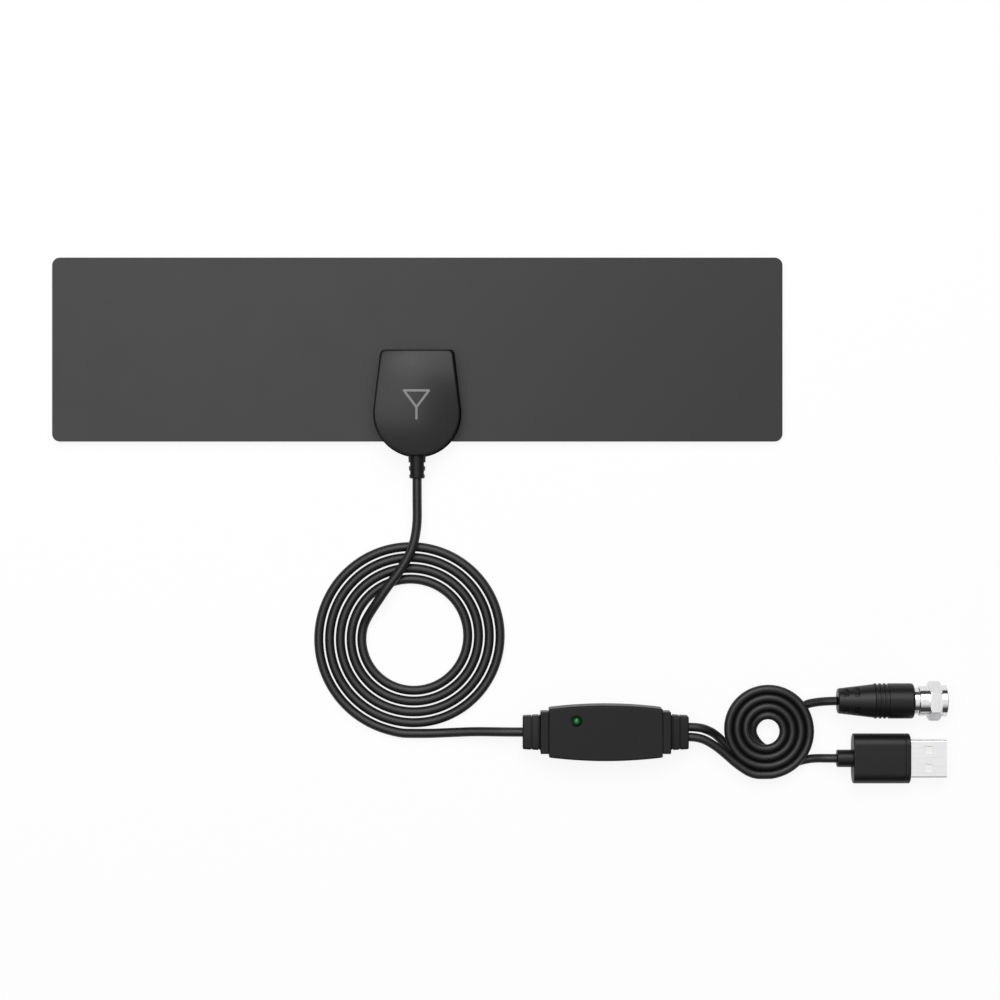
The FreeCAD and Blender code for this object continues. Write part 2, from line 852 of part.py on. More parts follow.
def amplifier_components():
    """Chip, two capacitors and a row of resistors, all standing on the board."""
    middle = (body_start_x + body_end_x) / 2
    chip_low = Vec(middle - chip_length / 2, amplifier_y - chip_width / 2, board_top_z)
    pieces = [box(chip_low, chip_low + Vec(chip_length, chip_width, chip_height))]
    for side in (-1, 1):
        y = amplifier_y - board_post_inset
        x = middle + side * capacitor_offset
        pieces.append(rod_z(x, y, board_top_z, board_top_z + capacitor_height, capacitor_radius))
    for i in range(resistor_count):
        low = Vec(
            middle + chip_length / 2 + i * resistor_pitch + resistor_width,
            amplifier_y + chip_width / 2,
            board_top_z,
        )
        pieces.append(box(low, low + Vec(resistor_width, resistor_length, resistor_height)))
    return Part.makeCompound(pieces)


def status_led():
    """Lamp with a domed top in the cover's hole, a flange under the roof and two legs on the board."""
    x, y = led_place()
    roof_z = amplifier_height - amplifier_wall
    flange_z = roof_z - led_flange_thickness
    dome_centre = Vec(x, y, amplifier_height + led_rise - led_radius)
    stem = rod_z(x, y, roof_z, dome_centre.z, led_radius)
    dome = Part.makeSphere(led_radius, dome_centre)
    dome = dome.common(rod_z(x, y, roof_z, amplifier_height + led_radius, led_radius))
    flange = rod_z(x, y, flange_z, roof_z, led_flange_radius)
    led = flange.fuse([stem, dome])
    for side in (-1, 1):
        low = Vec(
            x + side * led_leg_spacing / 2 - led_leg_width / 2, y - led_leg_width / 2, board_top_z
        )
        led = led.fuse(box(low, low + Vec(led_leg_width, led_leg_width, flange_z - board_top_z)))
    return led.removeSplitter()


def amplifier_parts():
    grip = inlet_grip()
    middle = Vec((body_start_x + body_end_x) / 2, 0, 0)
    return {
        "amplifier_top_cover": amplifier_top_cover(),
        "amplifier_bottom_cover": amplifier_bottom_cover(),
        "amplifier_inlet_grip": grip,
        "amplifier_outlet_grip": grip.mirror(middle, X_AXIS),
        "amplifier_board": amplifier_board(),
        "amplifier_components": amplifier_components(),
        "status_led": status_led(),
    }


# Tails


def tail_parts():
    """Coax tail wound inwards into a flat coil and out from beneath it, and the power tail under the coil."""
    radius = tail_diameter / 2
    start_angle = -math.pi / 2
    lower_exit = amplifier_outlet - Y_AXIS * (tail_spacing / 2)
    upper_exit = amplifier_outlet + Y_AXIS * (tail_spacing / 2)
    coil_start = tail_coil_centre + Vec(0, -tail_coil_first_radius, tail_upper_z)
    coil_end = tail_coil_centre + Vec(0, -tail_coil_last_radius, tail_upper_z)
    coax_in = [lower_exit, lower_exit + X_AXIS * tail_first_run]
    coax_in += points_from(tail_coil_centre, coax_in_points)
    coax_in += [coil_start - X_AXIS * tail_step_run, coil_start]
    coax_out = [coil_end, coil_end + X_AXIS * coax_out_first_run]
    coax_out += points_from(tail_coil_centre, coax_out_points)
    coax_out += [f_plug_start - Vec(coax_out_end_run, 0, coax_out_end_rise), f_plug_start]
    power = [upper_exit, upper_exit + X_AXIS * tail_first_run]
    power += points_from(tail_coil_centre, power_points)
    power += [usb_start - Vec(power_end_run, 0, power_end_rise), usb_start]
    low_z = tail_upper_z - radius
    outer = spiral_face(
        tail_coil_centre, tail_coil_first_radius + radius, -tail_pitch, start_angle, low_z
    )
    inner = spiral_face(
        tail_coil_centre, tail_coil_last_radius + tail_pitch - radius, -tail_pitch, start_angle, low_z
    )
    return {
        "coax_tail_lead_in": cord_tube("coax_tail_lead_in", coax_in, tail_diameter),
        "coax_tail_coil": outer.cut(inner).extrude(Z_AXIS * tail_diameter),
        "coax_tail_lead_out": cord_tube("coax_tail_lead_out", coax_out, tail_diameter),
        "power_tail": cord_tube("power_tail", power, tail_diameter),
    }


# F plug


def boot_profile():
    """Taper with rings at its wide end, then a plain barrel with a rounded front edge."""
    profile = [(0, boot_start_radius), (boot_taper_length, boot_taper_radius)]
    for i in range(boot_ring_count):
        ring_start = boot_taper_length + i * boot_ring_pitch
        ring_end = ring_start + boot_ring_width
        profile.append((ring_start, boot_radius))
        profile.append((ring_end, boot_radius))
        profile.append((ring_end, boot_ring_groove_radius))
        profile.append((ring_start + boot_ring_pitch, boot_ring_groove_radius))
    barrel_start = boot_taper_length + boot_ring_count * boot_ring_pitch
    profile.append((barrel_start, boot_radius))
    profile.append((boot_length, boot_radius))
    return profile


def f_plug_boot():
    boot = turned(boot_profile(), f_plug_start)
    front_edges = []
    for edge in boot.Edges:
        if edge.BoundBox.XMin > boot_end_x - boot_end_round and edge.BoundBox.XLength < boot_end_round:
            front_edges.append(edge)
    boot = boot.makeFillet(boot_end_round, front_edges)
    for slot_start in boot_slot_starts:
        boot = boot.cut(boot_slots(slot_start))
    socket_start = Vec(boot_end_x - post_embed, f_plug_start.y, f_plug_start.z)
    return boot.cut(rod_x(socket_start, post_embed, post_embed_radius)).removeSplitter()


def boot_slots(slot_start):
    """Ring of slots cut into the taper, parted by webs that stand between them."""
    share = slot_start / boot_taper_length
    surface = boot_start_radius + (boot_taper_radius - boot_start_radius) * share
    start = f_plug_start + X_AXIS * slot_start
    ring = rod_x(start, boot_slot_length, boot_radius)
    ring = ring.cut(rod_x(start, boot_slot_length, surface - boot_slot_depth))
    for i in range(boot_slot_count):
        web = Part.makeBox(
            boot_slot_length,
            boot_web_width,
            2 * boot_radius,
            start + Vec(0, -boot_web_width / 2, 0),
        )
        web.rotate(start, X_AXIS, 360 / boot_slot_count * i)
        ring = ring.cut(web)
    return ring


def f_plug_post():
    """Plated post: a stem held in the boot, a neck, and a flange that keeps the nut on."""
    start = Vec(boot_end_x, f_plug_start.y, f_plug_start.z)
    flange_start = post_face_x - post_flange_thickness - boot_end_x
    face = post_face_x - boot_end_x
    profile = [
        (-post_embed, post_embed_radius),
        (0, post_embed_radius),
        (0, post_neck_radius),
        (post_neck_length, post_neck_radius),
        (post_neck_length, spigot_radius),
        (flange_start, spigot_radius),
        (flange_start, post_flange_radius),
        (face, post_flange_radius),
    ]
    bore_start = Vec(post_face_x - insulator_length, start.y, start.z)
    return turned(profile, start).cut(rod_x(bore_start, insulator_length, insulator_radius))


def f_plug_insulator():
    start = Vec(post_face_x - insulator_length, f_plug_start.y, f_plug_start.z)
    sleeve = rod_x(start, insulator_length, insulator_radius)
    return sleeve.cut(rod_x(start + X_AXIS * pin_root_setback, insulator_length, pin_root_radius))


def f_plug_pin():
    """Stepped centre pin: a root held in the insulator, a shoulder, and a free end with a bevelled tip."""
    start = Vec(post_face_x - insulator_length + pin_root_setback, f_plug_start.y, f_plug_start.z)
    face = post_face_x - start.x
    end = nut_end_x - pin_setback - start.x
    profile = [
        (0, pin_root_radius),
        (face, pin_root_radius),
        (face + pin_shoulder_length, pin_radius),
        (end - pin_tip_length, pin_radius),
        (end, pin_tip_radius),
    ]
    return turned(profile, start)


def hexagon(start):
    """Hexagon with a flat on top and its corners chamfered at both ends."""
    corner_radius = nut_hex_across_flats / math.sqrt(3)
    flat_radius = nut_hex_across_flats / 2
    corners = []
    for i in range(7):
        angle = math.radians(60 * i)
        corners.append(start + Vec(0, corner_radius * math.cos(angle), corner_radius * math.sin(angle)))
    prism = Part.Face(Part.makePolygon(corners)).extrude(X_AXIS * nut_hex_length)
    rounding = [
        (0, flat_radius),
        (nut_hex_chamfer, corner_radius),
        (nut_hex_length - nut_hex_chamfer, corner_radius),
        (nut_hex_length, flat_radius),
    ]
    return prism.common(turned(rounding, start))


def f_plug_nut():
    """Coupling nut: a round collar, the hexagon and a round lip, turning freely on the post."""
    start = Vec(nut_start_x, f_plug_start.y, f_plug_start.z)
    lip_start = nut_collar_length + nut_hex_length
    total = lip_start + nut_lip_length
    outside = [
        (0, nut_collar_radius - nut_lip_chamfer),
        (nut_lip_chamfer, nut_collar_radius),
        (lip_start, nut_collar_radius),
        (lip_start, nut_lip_radius),
        (total - nut_lip_chamfer, nut_lip_radius),
        (total, nut_lip_radius - nut_lip_chamfer),
    ]
    nut = turned(outside, start).fuse(hexagon(start + X_AXIS * nut_collar_length))
    rear_bore = rod_x(start, nut_rear_wall, spigot_radius + nut_running_clearance)
    thread_bore = rod_x(start + X_AXIS * nut_rear_wall, total - nut_rear_wall, nut_thread_radius)
    return nut.cut(rear_bore.fuse(thread_bore)).removeSplitter()


def f_plug_parts():
    return {
        "f_plug_boot": f_plug_boot(),
        "f_plug_post": f_plug_post(),
        "f_plug_nut": f_plug_nut(),
        "f_plug_insulator": f_plug_insulator(),
        "f_plug_pin": f_plug_pin(),
    }


# USB plug


def usb_section(start_x, width, height, radius):
    """Upright rounded rectangle across the plug's axis."""
    half_width = width / 2
    half_height = height / 2
    corners = []
    for side_y, side_z in ((-1, -1), (1, -1), (1, 1), (-1, 1)):
        y = usb_start.y + side_y * half_width
        z = usb_axis_z + side_z * half_height
        corners.append(Vec(start_x, y, z))
    return rounded_face(corners, radius)


def usb_overmould():
    """Flat grip with full-round sides, bevelled at its front, on a round neck."""
    grip = usb_section(usb_grip_start_x, usb_grip_width, usb_grip_thickness, usb_grip_side_radius)
    grip = grip.extrude(X_AXIS * usb_grip_length)
    end_edges = [edge for edge in grip.Edges if edge.BoundBox.XMin > usb_grip_end_x - usb_grip_bevel]
    grip = grip.makeChamfer(usb_grip_bevel, end_edges)
    neck = rod_x(usb_start, usb_neck_length, usb_neck_radius)
    socket_start = usb_grip_end_x - usb_shell_embed
    socket = usb_section(socket_start, usb_shell_width, usb_shell_height, usb_shell_corner_radius)
    return grip.fuse(neck).cut(socket.extrude(X_AXIS * usb_shell_embed)).removeSplitter()


def usb_shell():
    """Thin folded tube with two square windows above and two below."""
    start_x = usb_grip_end_x - usb_shell_embed
    length = usb_shell_embed + usb_shell_length
    outer = usb_section(start_x, usb_shell_width, usb_shell_height, usb_shell_corner_radius)
    inner = usb_section(
        start_x,
        usb_shell_width - 2 * usb_shell_wall,
        usb_shell_height - 2 * usb_shell_wall,
        usb_shell_corner_radius - usb_shell_wall,
    )
    shell = outer.cut(inner).extrude(X_AXIS * length)
    for side in (-1, 1):
        middle = Vec(
            usb_grip_end_x + usb_window_from_grip,
            usb_start.y + side * usb_window_spacing / 2,
            usb_axis_z,
        )
        half = Vec(usb_window_size / 2, usb_window_size / 2, usb_shell_height)
        shell = shell.cut(box(middle - half, middle + half))
    return shell


def usb_tongue():
    """Plastic block at the back of the shell with a tongue along its upper half."""
    start_x = usb_grip_end_x - usb_shell_embed
    inner_width = usb_shell_width - 2 * usb_shell_wall
    inner_height = usb_shell_height - 2 * usb_shell_wall
    inner_radius = usb_shell_corner_radius - usb_shell_wall
    filling = usb_section(start_x, inner_width, inner_height, inner_radius)
    end_x = usb_shell_end_x - usb_tongue_setback
    filling = filling.extrude(X_AXIS * (end_x - start_x))
    roof_z = usb_axis_z + inner_height / 2
    hollow = box(
        Vec(start_x + usb_block_length, usb_start.y - inner_width, roof_z - inner_height),
        Vec(end_x, usb_start.y + inner_width, roof_z - usb_tongue_thickness),
    )
    return filling.cut(hollow)


def usb_contacts():
    """Four flat contacts on the underside of the tongue."""
    contacts = []
    tongue_z = usb_axis_z + usb_shell_height / 2 - usb_shell_wall - usb_tongue_thickness
    low_z = tongue_z - usb_contact_thickness
    front_x = usb_shell_end_x - usb_tongue_setback - usb_contact_setback
    for i in range(usb_contact_count):
        y = usb_start.y + (i - (usb_contact_count - 1) / 2) * usb_contact_pitch
        low = Vec(front_x - usb_contact_length, y - usb_contact_width / 2, low_z)
        contacts.append(box(low, low + Vec(usb_contact_length, usb_contact_width, usb_contact_thickness)))
    return Part.makeCompound(contacts)


def usb_parts():
    return {
        "usb_overmould": usb_overmould(),
        "usb_shell": usb_shell(),
        "usb_tongue": usb_tongue(),
        "usb_contacts": usb_contacts(),
    }


def main():
    os.makedirs("parts", exist_ok=True)
    pieces = {}
    for group in (
        panel_parts,
        housing_parts,
        main_cord_parts,
        amplifier_parts,
        tail_parts,
        f_plug_parts,
        usb_parts,
    ):
        pieces.update(group())
    for name, shape in pieces.items():
        if not shape.isValid():
            raise ValueError(f"{name} is not a valid solid")
        shape.exportStep(f"parts/{name}.step")
        print(f"{name}: {len(shape.Solids)} solid, {shape.Volume:.1f} mm3")


main()
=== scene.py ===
"""Looks of a flat indoor TV antenna: fine surfaces over the frame, cords at their real length,
materials, light and camera.

Shapes are worked out in millimetres in the row frame and become metres when a mesh is made.
"""
import json
import math

import bmesh
import bpy
import numpy as np
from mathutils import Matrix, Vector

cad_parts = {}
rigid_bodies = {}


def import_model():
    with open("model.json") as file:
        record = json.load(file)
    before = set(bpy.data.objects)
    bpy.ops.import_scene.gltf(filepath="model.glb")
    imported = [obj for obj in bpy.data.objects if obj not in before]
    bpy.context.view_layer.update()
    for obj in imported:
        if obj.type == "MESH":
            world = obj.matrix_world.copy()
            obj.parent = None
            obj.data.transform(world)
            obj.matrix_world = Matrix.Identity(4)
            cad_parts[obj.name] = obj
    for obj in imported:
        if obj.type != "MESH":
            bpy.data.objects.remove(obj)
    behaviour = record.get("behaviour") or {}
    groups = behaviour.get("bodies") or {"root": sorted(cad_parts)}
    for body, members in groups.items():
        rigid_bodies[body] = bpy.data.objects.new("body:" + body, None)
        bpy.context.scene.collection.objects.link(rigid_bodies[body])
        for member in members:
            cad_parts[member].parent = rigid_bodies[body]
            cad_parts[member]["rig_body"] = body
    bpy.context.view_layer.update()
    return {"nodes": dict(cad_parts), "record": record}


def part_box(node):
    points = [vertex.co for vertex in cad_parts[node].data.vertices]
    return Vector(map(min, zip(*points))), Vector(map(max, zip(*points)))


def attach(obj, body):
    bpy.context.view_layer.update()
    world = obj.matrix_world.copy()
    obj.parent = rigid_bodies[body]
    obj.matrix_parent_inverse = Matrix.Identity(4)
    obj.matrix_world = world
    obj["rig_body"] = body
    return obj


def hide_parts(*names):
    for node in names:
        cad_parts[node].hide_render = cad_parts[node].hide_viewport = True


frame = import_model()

MM = 0.001

# Meshes, with the distance in metres
merge_distance = 2e-7
sharp_angle = math.radians(32)
fine_columns = 144

# Panel
panel_corner = 2.5
sheet_edge = 0.1

# Junction housing
housing_round = 14.2
housing_top_y = 20.5
housing_top_width = 23.7
housing_corner = 1.5
housing_wall = 1.5
housing_draft = 0.5
housing_fillet = 0.45
dome_radius = 80.0
satin_depth = 0.35
satin_gloss = 0.21

# Printed mark
mark_y = 2.6
mark_foot_drop = 4.6
mark_fork_drop = 0.9
mark_top_rise = 4.4
mark_half_width = 4.0
mark_stroke_radius = 0.36
mark_lift = 0.02
mark_lift_step = 0.004

# Cord gland
gland_flange_radius = 2.8
gland_tip_radius = 2.45
gland_tip_bevel = 0.3
gland_groove_radius = 2.2
gland_notch_starts = [1.6, 4.25]
gland_notch_width = 1.3
gland_notch_ramp = 0.1
gland_embed = 1.0

# In-line amplifier
case_end_width = 15.5
case_middle_width = 17.8
case_height = 10.0
case_wall = 1.5
case_bevel = 0.4
case_corner = 0.4
case_end_round = 0.3
case_seam = 0.15
case_edges = [0.05, 0.16, 0.16]
case_flat_start = 0.2
case_flat_margin = 1.2
collar_length = 2.7
collar_width = 13.4
collar_height = 8.6
collar_edge = 0.15
collar_end_places = [0, 0.08, 0.25, 0.5]
collar_end_insets = [0.25, 0.1, 0, 0]
grip_length = 5.7
grip_width = 11.1
grip_height = 7.4
grip_corner = 0.8
grip_taper = 0.3
grip_end_places = [0, 0.1, 0.3]
grip_end_insets = [0.3, 0.1, 0]
inlet_groove_starts = [2.6, 4.9]
outlet_groove_starts = [0.3, 2.6]
grip_groove_width = 0.5
grip_groove_depth = 0.25
grip_groove_ramp = 0.14
led_radius = 1.5
led_depth = 2.25
led_clearance = 0.05
led_rim = 0.4
led_rim_flat = 0.3
# painted glow of the lens: emission strength at its middle, falling to none at this radius
painted_glow_radius = 1.125
painted_glow_strength = 0.2

# Cords
main_diameter = 3.0
main_pitch = 3.474
main_turns = 4.25
main_first_radius = 16.17
main_centre = (-1.7, -72.15)
tail_diameter = 2.8
tail_pitch = 2.79
tail_turns = 3.5
tail_first_radius = 14.45
tail_centre = (112.28, -101.66)
tail_coil_z = 4.24
coil_steps = 24

# F plug
boot_taper_length = 11.7
boot_start_radius = 4.0
boot_start_bevel = 0.25
boot_taper_radius = 5.4
boot_radius = 5.65
boot_ring_starts = [11.7, 13.17, 14.64]
boot_ring_width = 0.75
boot_ring_groove_radius = 5.3
boot_barrel_start = 16.11
boot_end_round = 0.8
boot_slot_starts = [1.6, 5.05]
boot_slot_length = 1.6
boot_slot_depth = 0.7
boot_web_width = 3.4
boot_ramp = 0.12
turned_edge = 0.08
post_front_length = 4.02
post_shank_radius = 3.6
post_neck_radius = 4.2
post_neck_length = 1.48
post_spigot_radius = 3.4
post_flange_radius = 4.0
post_flange_thickness = 0.9
post_bore_radius = 2.3
nut_collar_radius = 4.75
nut_collar_length = 3.05
nut_collar_edge = 0.25
nut_across_flats = 11.0
nut_hex_length = 3.86
nut_hex_chamfer = 0.6
nut_hex_cone = 1.6
nut_hex_edge = 0.1
nut_lip_radius = 5.0
nut_lip_edge = 0.3
nut_rear_wall = 1.4
nut_rear_radius = 3.48
thread_minor_radius = 4.36
thread_depth = 0.36
thread_pitch = 0.794
thread_mouth = 0.3
thread_from_face = 0.15
thread_run_out = 0.5

# USB plug
usb_neck_length = 5.06
usb_neck_radius = 2.8
usb_neck_bore_radius = 1.4
usb_neck_edge = 0.35
usb_neck_embed = 0.5
usb_side_radius = 3.7
usb_rear_round = 0.5
usb_bevel = 0.4
usb_bevel_edge = 0.15
usb_line_from_end = 1.7
usb_line_depth = 0.1
usb_line_half_width = 0.15
usb_line_edge = 0.04

# Photograph's frame and the camera
frame_width = 321.7
frame_centre = (26.6, -27.9)
frame_height = 2.5
camera_distance = 820.0
sensor_width = 36.0

# Grain and clouds of the finishes
cloud_size = 14
tint_stops = (0.3, 0.7)

# Table, and how much of it reads plain white to the camera and in reflections
table_half = 6000.0
table_drop = 0.02
table_white_seen = 0.88
table_white_reflected = 0.3

# Lamps in metres and watts, and the room's light by the height of a direction
key_place = (0.12, 0.69, 0.98)
key_size = (0.8, 0.8)
key_watts = 7.7
broad_place = (-0.26, 0.2, 0.95)
broad_target = (-0.26, 0.2, 0.0)
broad_size = (0.6, 0.7)
broad_watts = 3.6
wall_top = 0.62
wall_level = 0.05
ceiling_start = 0.97
ceiling_level = 0.97


# Surfaces


def corners_of(node):
    """Low and high corner of a CAD node, in millimetres."""
    low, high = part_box(node)
    return np.array(low) / MM, np.array(high) / MM


def softened(corners, reach, steps=6):
    """Line with rounded corners: a parabola from one reach before each inner corner to one reach after it,
    and a point a little further out on both sides, so that a flat beside it shades flat."""
    corners = np.asarray(corners, float)
    reach = np.reshape(reach, (-1, 1, 1))
    middle = corners[1:-1, None]
    back = corners[:-2, None] - middle
    ahead = corners[2:, None] - middle
    back /= np.linalg.norm(back, axis=-1, keepdims=True)
    ahead /= np.linalg.norm(ahead, axis=-1, keepdims=True)
    share = np.linspace(0, 1, steps)[:, None]
    start = middle + reach * back
    end = middle + reach * ahead
    bend = (1 - share) ** 2 * start + 2 * share * (1 - share) * middle + share**2 * end
    beyond = 0.25 * reach
    rows = np.concatenate([start + beyond * back, bend, end + beyond * ahead], axis=1)
    return np.concatenate([corners[:1], rows.reshape(-1, corners.shape[1]), corners[-1:]])


def rounded_loop(half_a, half_b, radius, steps=8):
    """Closed rounded rectangles, one for each size given: a quarter circle swung about each corner's
    centre, with the first point repeated at the end."""
    half_a, half_b, radius = np.broadcast_arrays(half_a, half_b, radius)
    start = np.arange(4)[:, None] * math.pi / 2
    angle = start + np.linspace(0, math.pi / 2, steps)
    side_a = np.sign(np.cos(start + math.pi / 4))
    side_b = np.sign(np.sin(start + math.pi / 4))
    round_a = radius[..., None, None] * np.cos(angle)
    round_b = radius[..., None, None] * np.sin(angle)
    a = side_a * (half_a - radius)[..., None, None] + round_a
    b = side_b * (half_b - radius)[..., None, None] + round_b
    loop = np.stack([a, b], axis=-1).reshape(*half_a.shape, -1, 2)
    return np.concatenate([loop, loop[..., :1, :]], axis=-2)


def window(position, starts, width, ramp):
    """1 inside any of the intervals and 0 outside them, with a straight ramp inside each end."""
    position = np.asarray(position)[..., None]
    rise = (position - np.asarray(starts)) / ramp
    fall = (np.asarray(starts) + width - position) / ramp
    return np.clip(np.minimum(rise, fall), 0, 1).max(axis=-1)


def stations(start, end, step, edges, ramp):
    """Places along a piece: even steps, and each edge with a place one ramp to both sides of it."""
    edges = np.asarray(edges)
    places = np.concatenate([np.arange(start, end, step), edges - ramp, edges, edges + ramp, [end]])
    return np.unique(np.clip(places, start, end).round(5))


def revolved(along, radius, centre, axis, columns=96):
    """Round surface: each place along the axis at its distance from it, swung once about the axis.
    The axis is 0 for X, 1 for Y and 2 for Z, and the radius may also change round the turn."""
    angle = np.linspace(0, 2 * math.pi, columns + 1)
    along, radius = np.broadcast_arrays(np.asarray(along)[:, None], np.reshape(radius, (len(along), -1)))
    swing = np.stack(np.broadcast_arrays(along, radius * np.cos(angle), radius * np.sin(angle)), axis=-1)
    return np.roll(swing, axis, axis=-1) + np.asarray(centre)


def upright(outlines, z):
    """Plan outlines, one for each row, lifted to their heights."""
    heights = np.broadcast_to(z, outlines.shape[:2])
    return np.dstack([outlines, heights])


def closed(grid):
    """Grid with a pole at each end, at the middle of its first row and of its last row."""
    first = np.broadcast_to(grid[:1, :-1].mean(axis=1, keepdims=True), grid[:1].shape)
    last = np.broadcast_to(grid[-1:, :-1].mean(axis=1, keepdims=True), grid[-1:].shape)
    return np.concatenate([first, grid, last])


def bar(section, along, inset, centre):
    """Bar along X: a section loop in Y and Z drawn in at each place by its inset, with both ends closed."""
    half = np.abs(section).max(axis=0)
    loops = section * (1 - np.asarray(inset)[:, None, None] / half)
    x = np.broadcast_to(np.asarray(along)[:, None, None], (*loops.shape[:2], 1))
    return closed(np.concatenate([x, loops], axis=-1) + np.asarray(centre))


def surface(name, *grids):
    """Mesh of four-sided faces between neighbouring rows and columns of each grid, with coincident points
    merged so that seams and poles close, and faces turned outwards."""
    points = []
    faces = []
    count = 0
    for grid in grids:
        index = count + np.arange(grid.shape[0] * grid.shape[1]).reshape(grid.shape[:2])
        quads = np.stack([index[:-1, :-1], index[:-1, 1:], index[1:, 1:], index[1:, :-1]], axis=-1)
        points.append(grid.reshape(-1, 3))
        faces.append(quads.reshape(-1, 4))
        count += index.size
    mesh = bpy.data.meshes.new(name)
    mesh.from_pydata(np.concatenate(points) * MM, [], np.concatenate(faces))
    shell = bmesh.new()
    shell.from_mesh(mesh)
    bmesh.ops.remove_doubles(shell, verts=shell.verts, dist=merge_distance)
    bmesh.ops.recalc_face_normals(shell, faces=shell.faces)
    shell.to_mesh(mesh)
    shell.free()
    mesh.shade_smooth()
    mesh.set_sharp_from_angle(angle=sharp_angle)
    return mesh


def settled(obj, nodes):
    """Puts a piece in the scene in place of its CAD nodes, on their body and with their slot's finish."""
    bpy.context.scene.collection.objects.link(obj)
    slot = slot_of[nodes[0]]
    obj.data.materials.append(finishes[slot])
    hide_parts(*nodes)
    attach(obj, frame["nodes"][nodes[0]]["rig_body"])
    return obj


def piece(name, nodes, *grids):
    """Mesh piece that stands for CAD nodes."""
    return settled(bpy.data.objects.new(name, surface(name, *grids)), nodes)


# Panel


def panel_sheet(node):
    """Rounded plate: its outline is drawn in and lifted along a rounded edge, and closed at both faces."""
    low, high = corners_of(node)
    half = (high - low) / 2
    middle = (high + low) / 2
    reach = 4 * sheet_edge
    edge = softened([(reach, low[2]), (0, low[2]), (0, high[2]), (reach, high[2])], sheet_edge)
    inset = edge[:, 0]
    outlines = rounded_loop(half[0] - inset, half[1] - inset, panel_corner - inset) + middle[:2]
    return closed(upright(outlines, edge[:, 1:]))


# Junction housing


def shield(inset):
    """Shield outlines, one for each inset: a round lower end, sides that leave it along its tangents,
    rounded shoulders and a straight top, from the lowest point once round."""
    inset = np.asarray(inset, float)[:, None]
    half_top = housing_top_width / 2
    to_corner = math.hypot(half_top, housing_top_y)
    lean = math.atan2(housing_top_y, half_top) - math.acos(housing_round / to_corner)
    radius = housing_round - inset
    top = housing_top_y - inset
    angle = np.linspace(-math.pi / 2, lean, 48)
    shoulder = radius * math.cos(lean) - math.tan(lean) * (top - radius * math.sin(lean))
    share = np.linspace(0, 1, 12)
    before = (1 - share) ** 2 * housing_corner
    after = share**2 * housing_corner
    corner_x = shoulder + before * math.sin(lean) - after
    corner_y = top - before * math.cos(lean)
    run = np.linspace(0, 1, 16)[1:-1]
    side_x = radius * math.cos(lean) * (1 - run) + corner_x[:, :1] * run
    side_y = radius * math.sin(lean) * (1 - run) + corner_y[:, :1] * run
    top_x = corner_x[:, -1:] * (1 - run)
    top_y = top + 0 * run
    right_x = np.concatenate([radius * np.cos(angle), side_x, corner_x, top_x], axis=1)
    right_y = np.concatenate([radius * np.sin(angle), side_y, corner_y, top_y], axis=1)
    x = np.concatenate([right_x, -right_x[:, ::-1]], axis=1)
    y = np.concatenate([right_y, right_y[:, ::-1]], axis=1)
    return np.stack([x, y], axis=-1)


def dome_centre():
    """Middle of the dome's sphere, with its crown over the middle of the shield."""
    return 0, (housing_top_y - housing_round) / 2, corners_of("housing_front_cover")[1][2] - dome_radius


def dome(x, y):
    """Height of the housing's top, a sphere."""
    centre = dome_centre()
    away = (x - centre[0]) ** 2 + (y - centre[1]) ** 2
    return centre[2] + np.sqrt(dome_radius**2 - away)


def housing_cover():
    """Drafted wall up to a round edge that runs into the dome, and the same a wall's thickness inside."""
    base = corners_of("housing_front_cover")[0][2]
    rise = np.linspace(0, 1, 10)[:, None]
    turn = np.linspace(0, math.pi / 2, 12)[1:, None]
    shrink = np.linspace(1, 0, 20)[1:, None, None]
    centre = np.array(dome_centre()[:2])

    wall = shield(housing_draft * rise[:, 0])
    wall_z = base + rise * (dome(wall[..., 0], wall[..., 1]) - housing_fillet - base)
    edge = shield(housing_draft + housing_fillet * (1 - np.cos(turn[:, 0])))
    edge_z = dome(edge[..., 0], edge[..., 1]) - housing_fillet * (1 - np.sin(turn))
    top = centre + shrink * (edge[-1] - centre)
    top_z = dome(top[..., 0], top[..., 1])
    outer = np.concatenate([upright(wall, wall_z), upright(edge, edge_z), upright(top, top_z)])

    inside = shield(housing_wall + housing_draft * rise[:, 0])
    inside_z = base + rise * (dome(inside[..., 0], inside[..., 1]) - housing_wall - base)
    roof = centre + shrink * (inside[-1] - centre)
    roof_z = dome(roof[..., 0], roof[..., 1]) - housing_wall
    inner = np.concatenate([outer[:1], upright(inside, inside_z), upright(roof, roof_z)])
    return outer, inner


def mark_line(start, end, lift):
    """Printed line on the dome: a strip with round ends, as wide at each place as a circle of the stroke
    allows, laid on the dome."""
    start = np.array(start)
    run = np.array(end) - start
    length = np.linalg.norm(run)
    ahead = run / length
    aside = np.array([-ahead[1], ahead[0]])
    radius = mark_stroke_radius
    along = stations(-radius, length + radius, step=0.25, edges=[0, length], ramp=0.2)
    past = np.maximum(np.maximum(-along, along - length), 0)
    half = np.sqrt(np.maximum(radius**2 - past**2, 0))
    across = np.linspace(-1, 1, 5)[:, None]
    plan = start + along[:, None, None] * ahead + half[:, None, None] * across * aside
    return upright(plan, dome(plan[..., 0], plan[..., 1]) + lift)


def aerial_mark():
    """Plain circuit symbol of an aerial: a mast with an open triangle on it."""
    foot = (0, mark_y - mark_foot_drop)
    fork = (0, mark_y - mark_fork_drop)
    left = (-mark_half_width, mark_y + mark_top_rise)
    right = (mark_half_width, mark_y + mark_top_rise)
    strokes = [(foot, fork), (fork, left), (left, right), (right, fork)]
    return [mark_line(*stroke, mark_lift + mark_lift_step * i) for i, stroke in enumerate(strokes)]


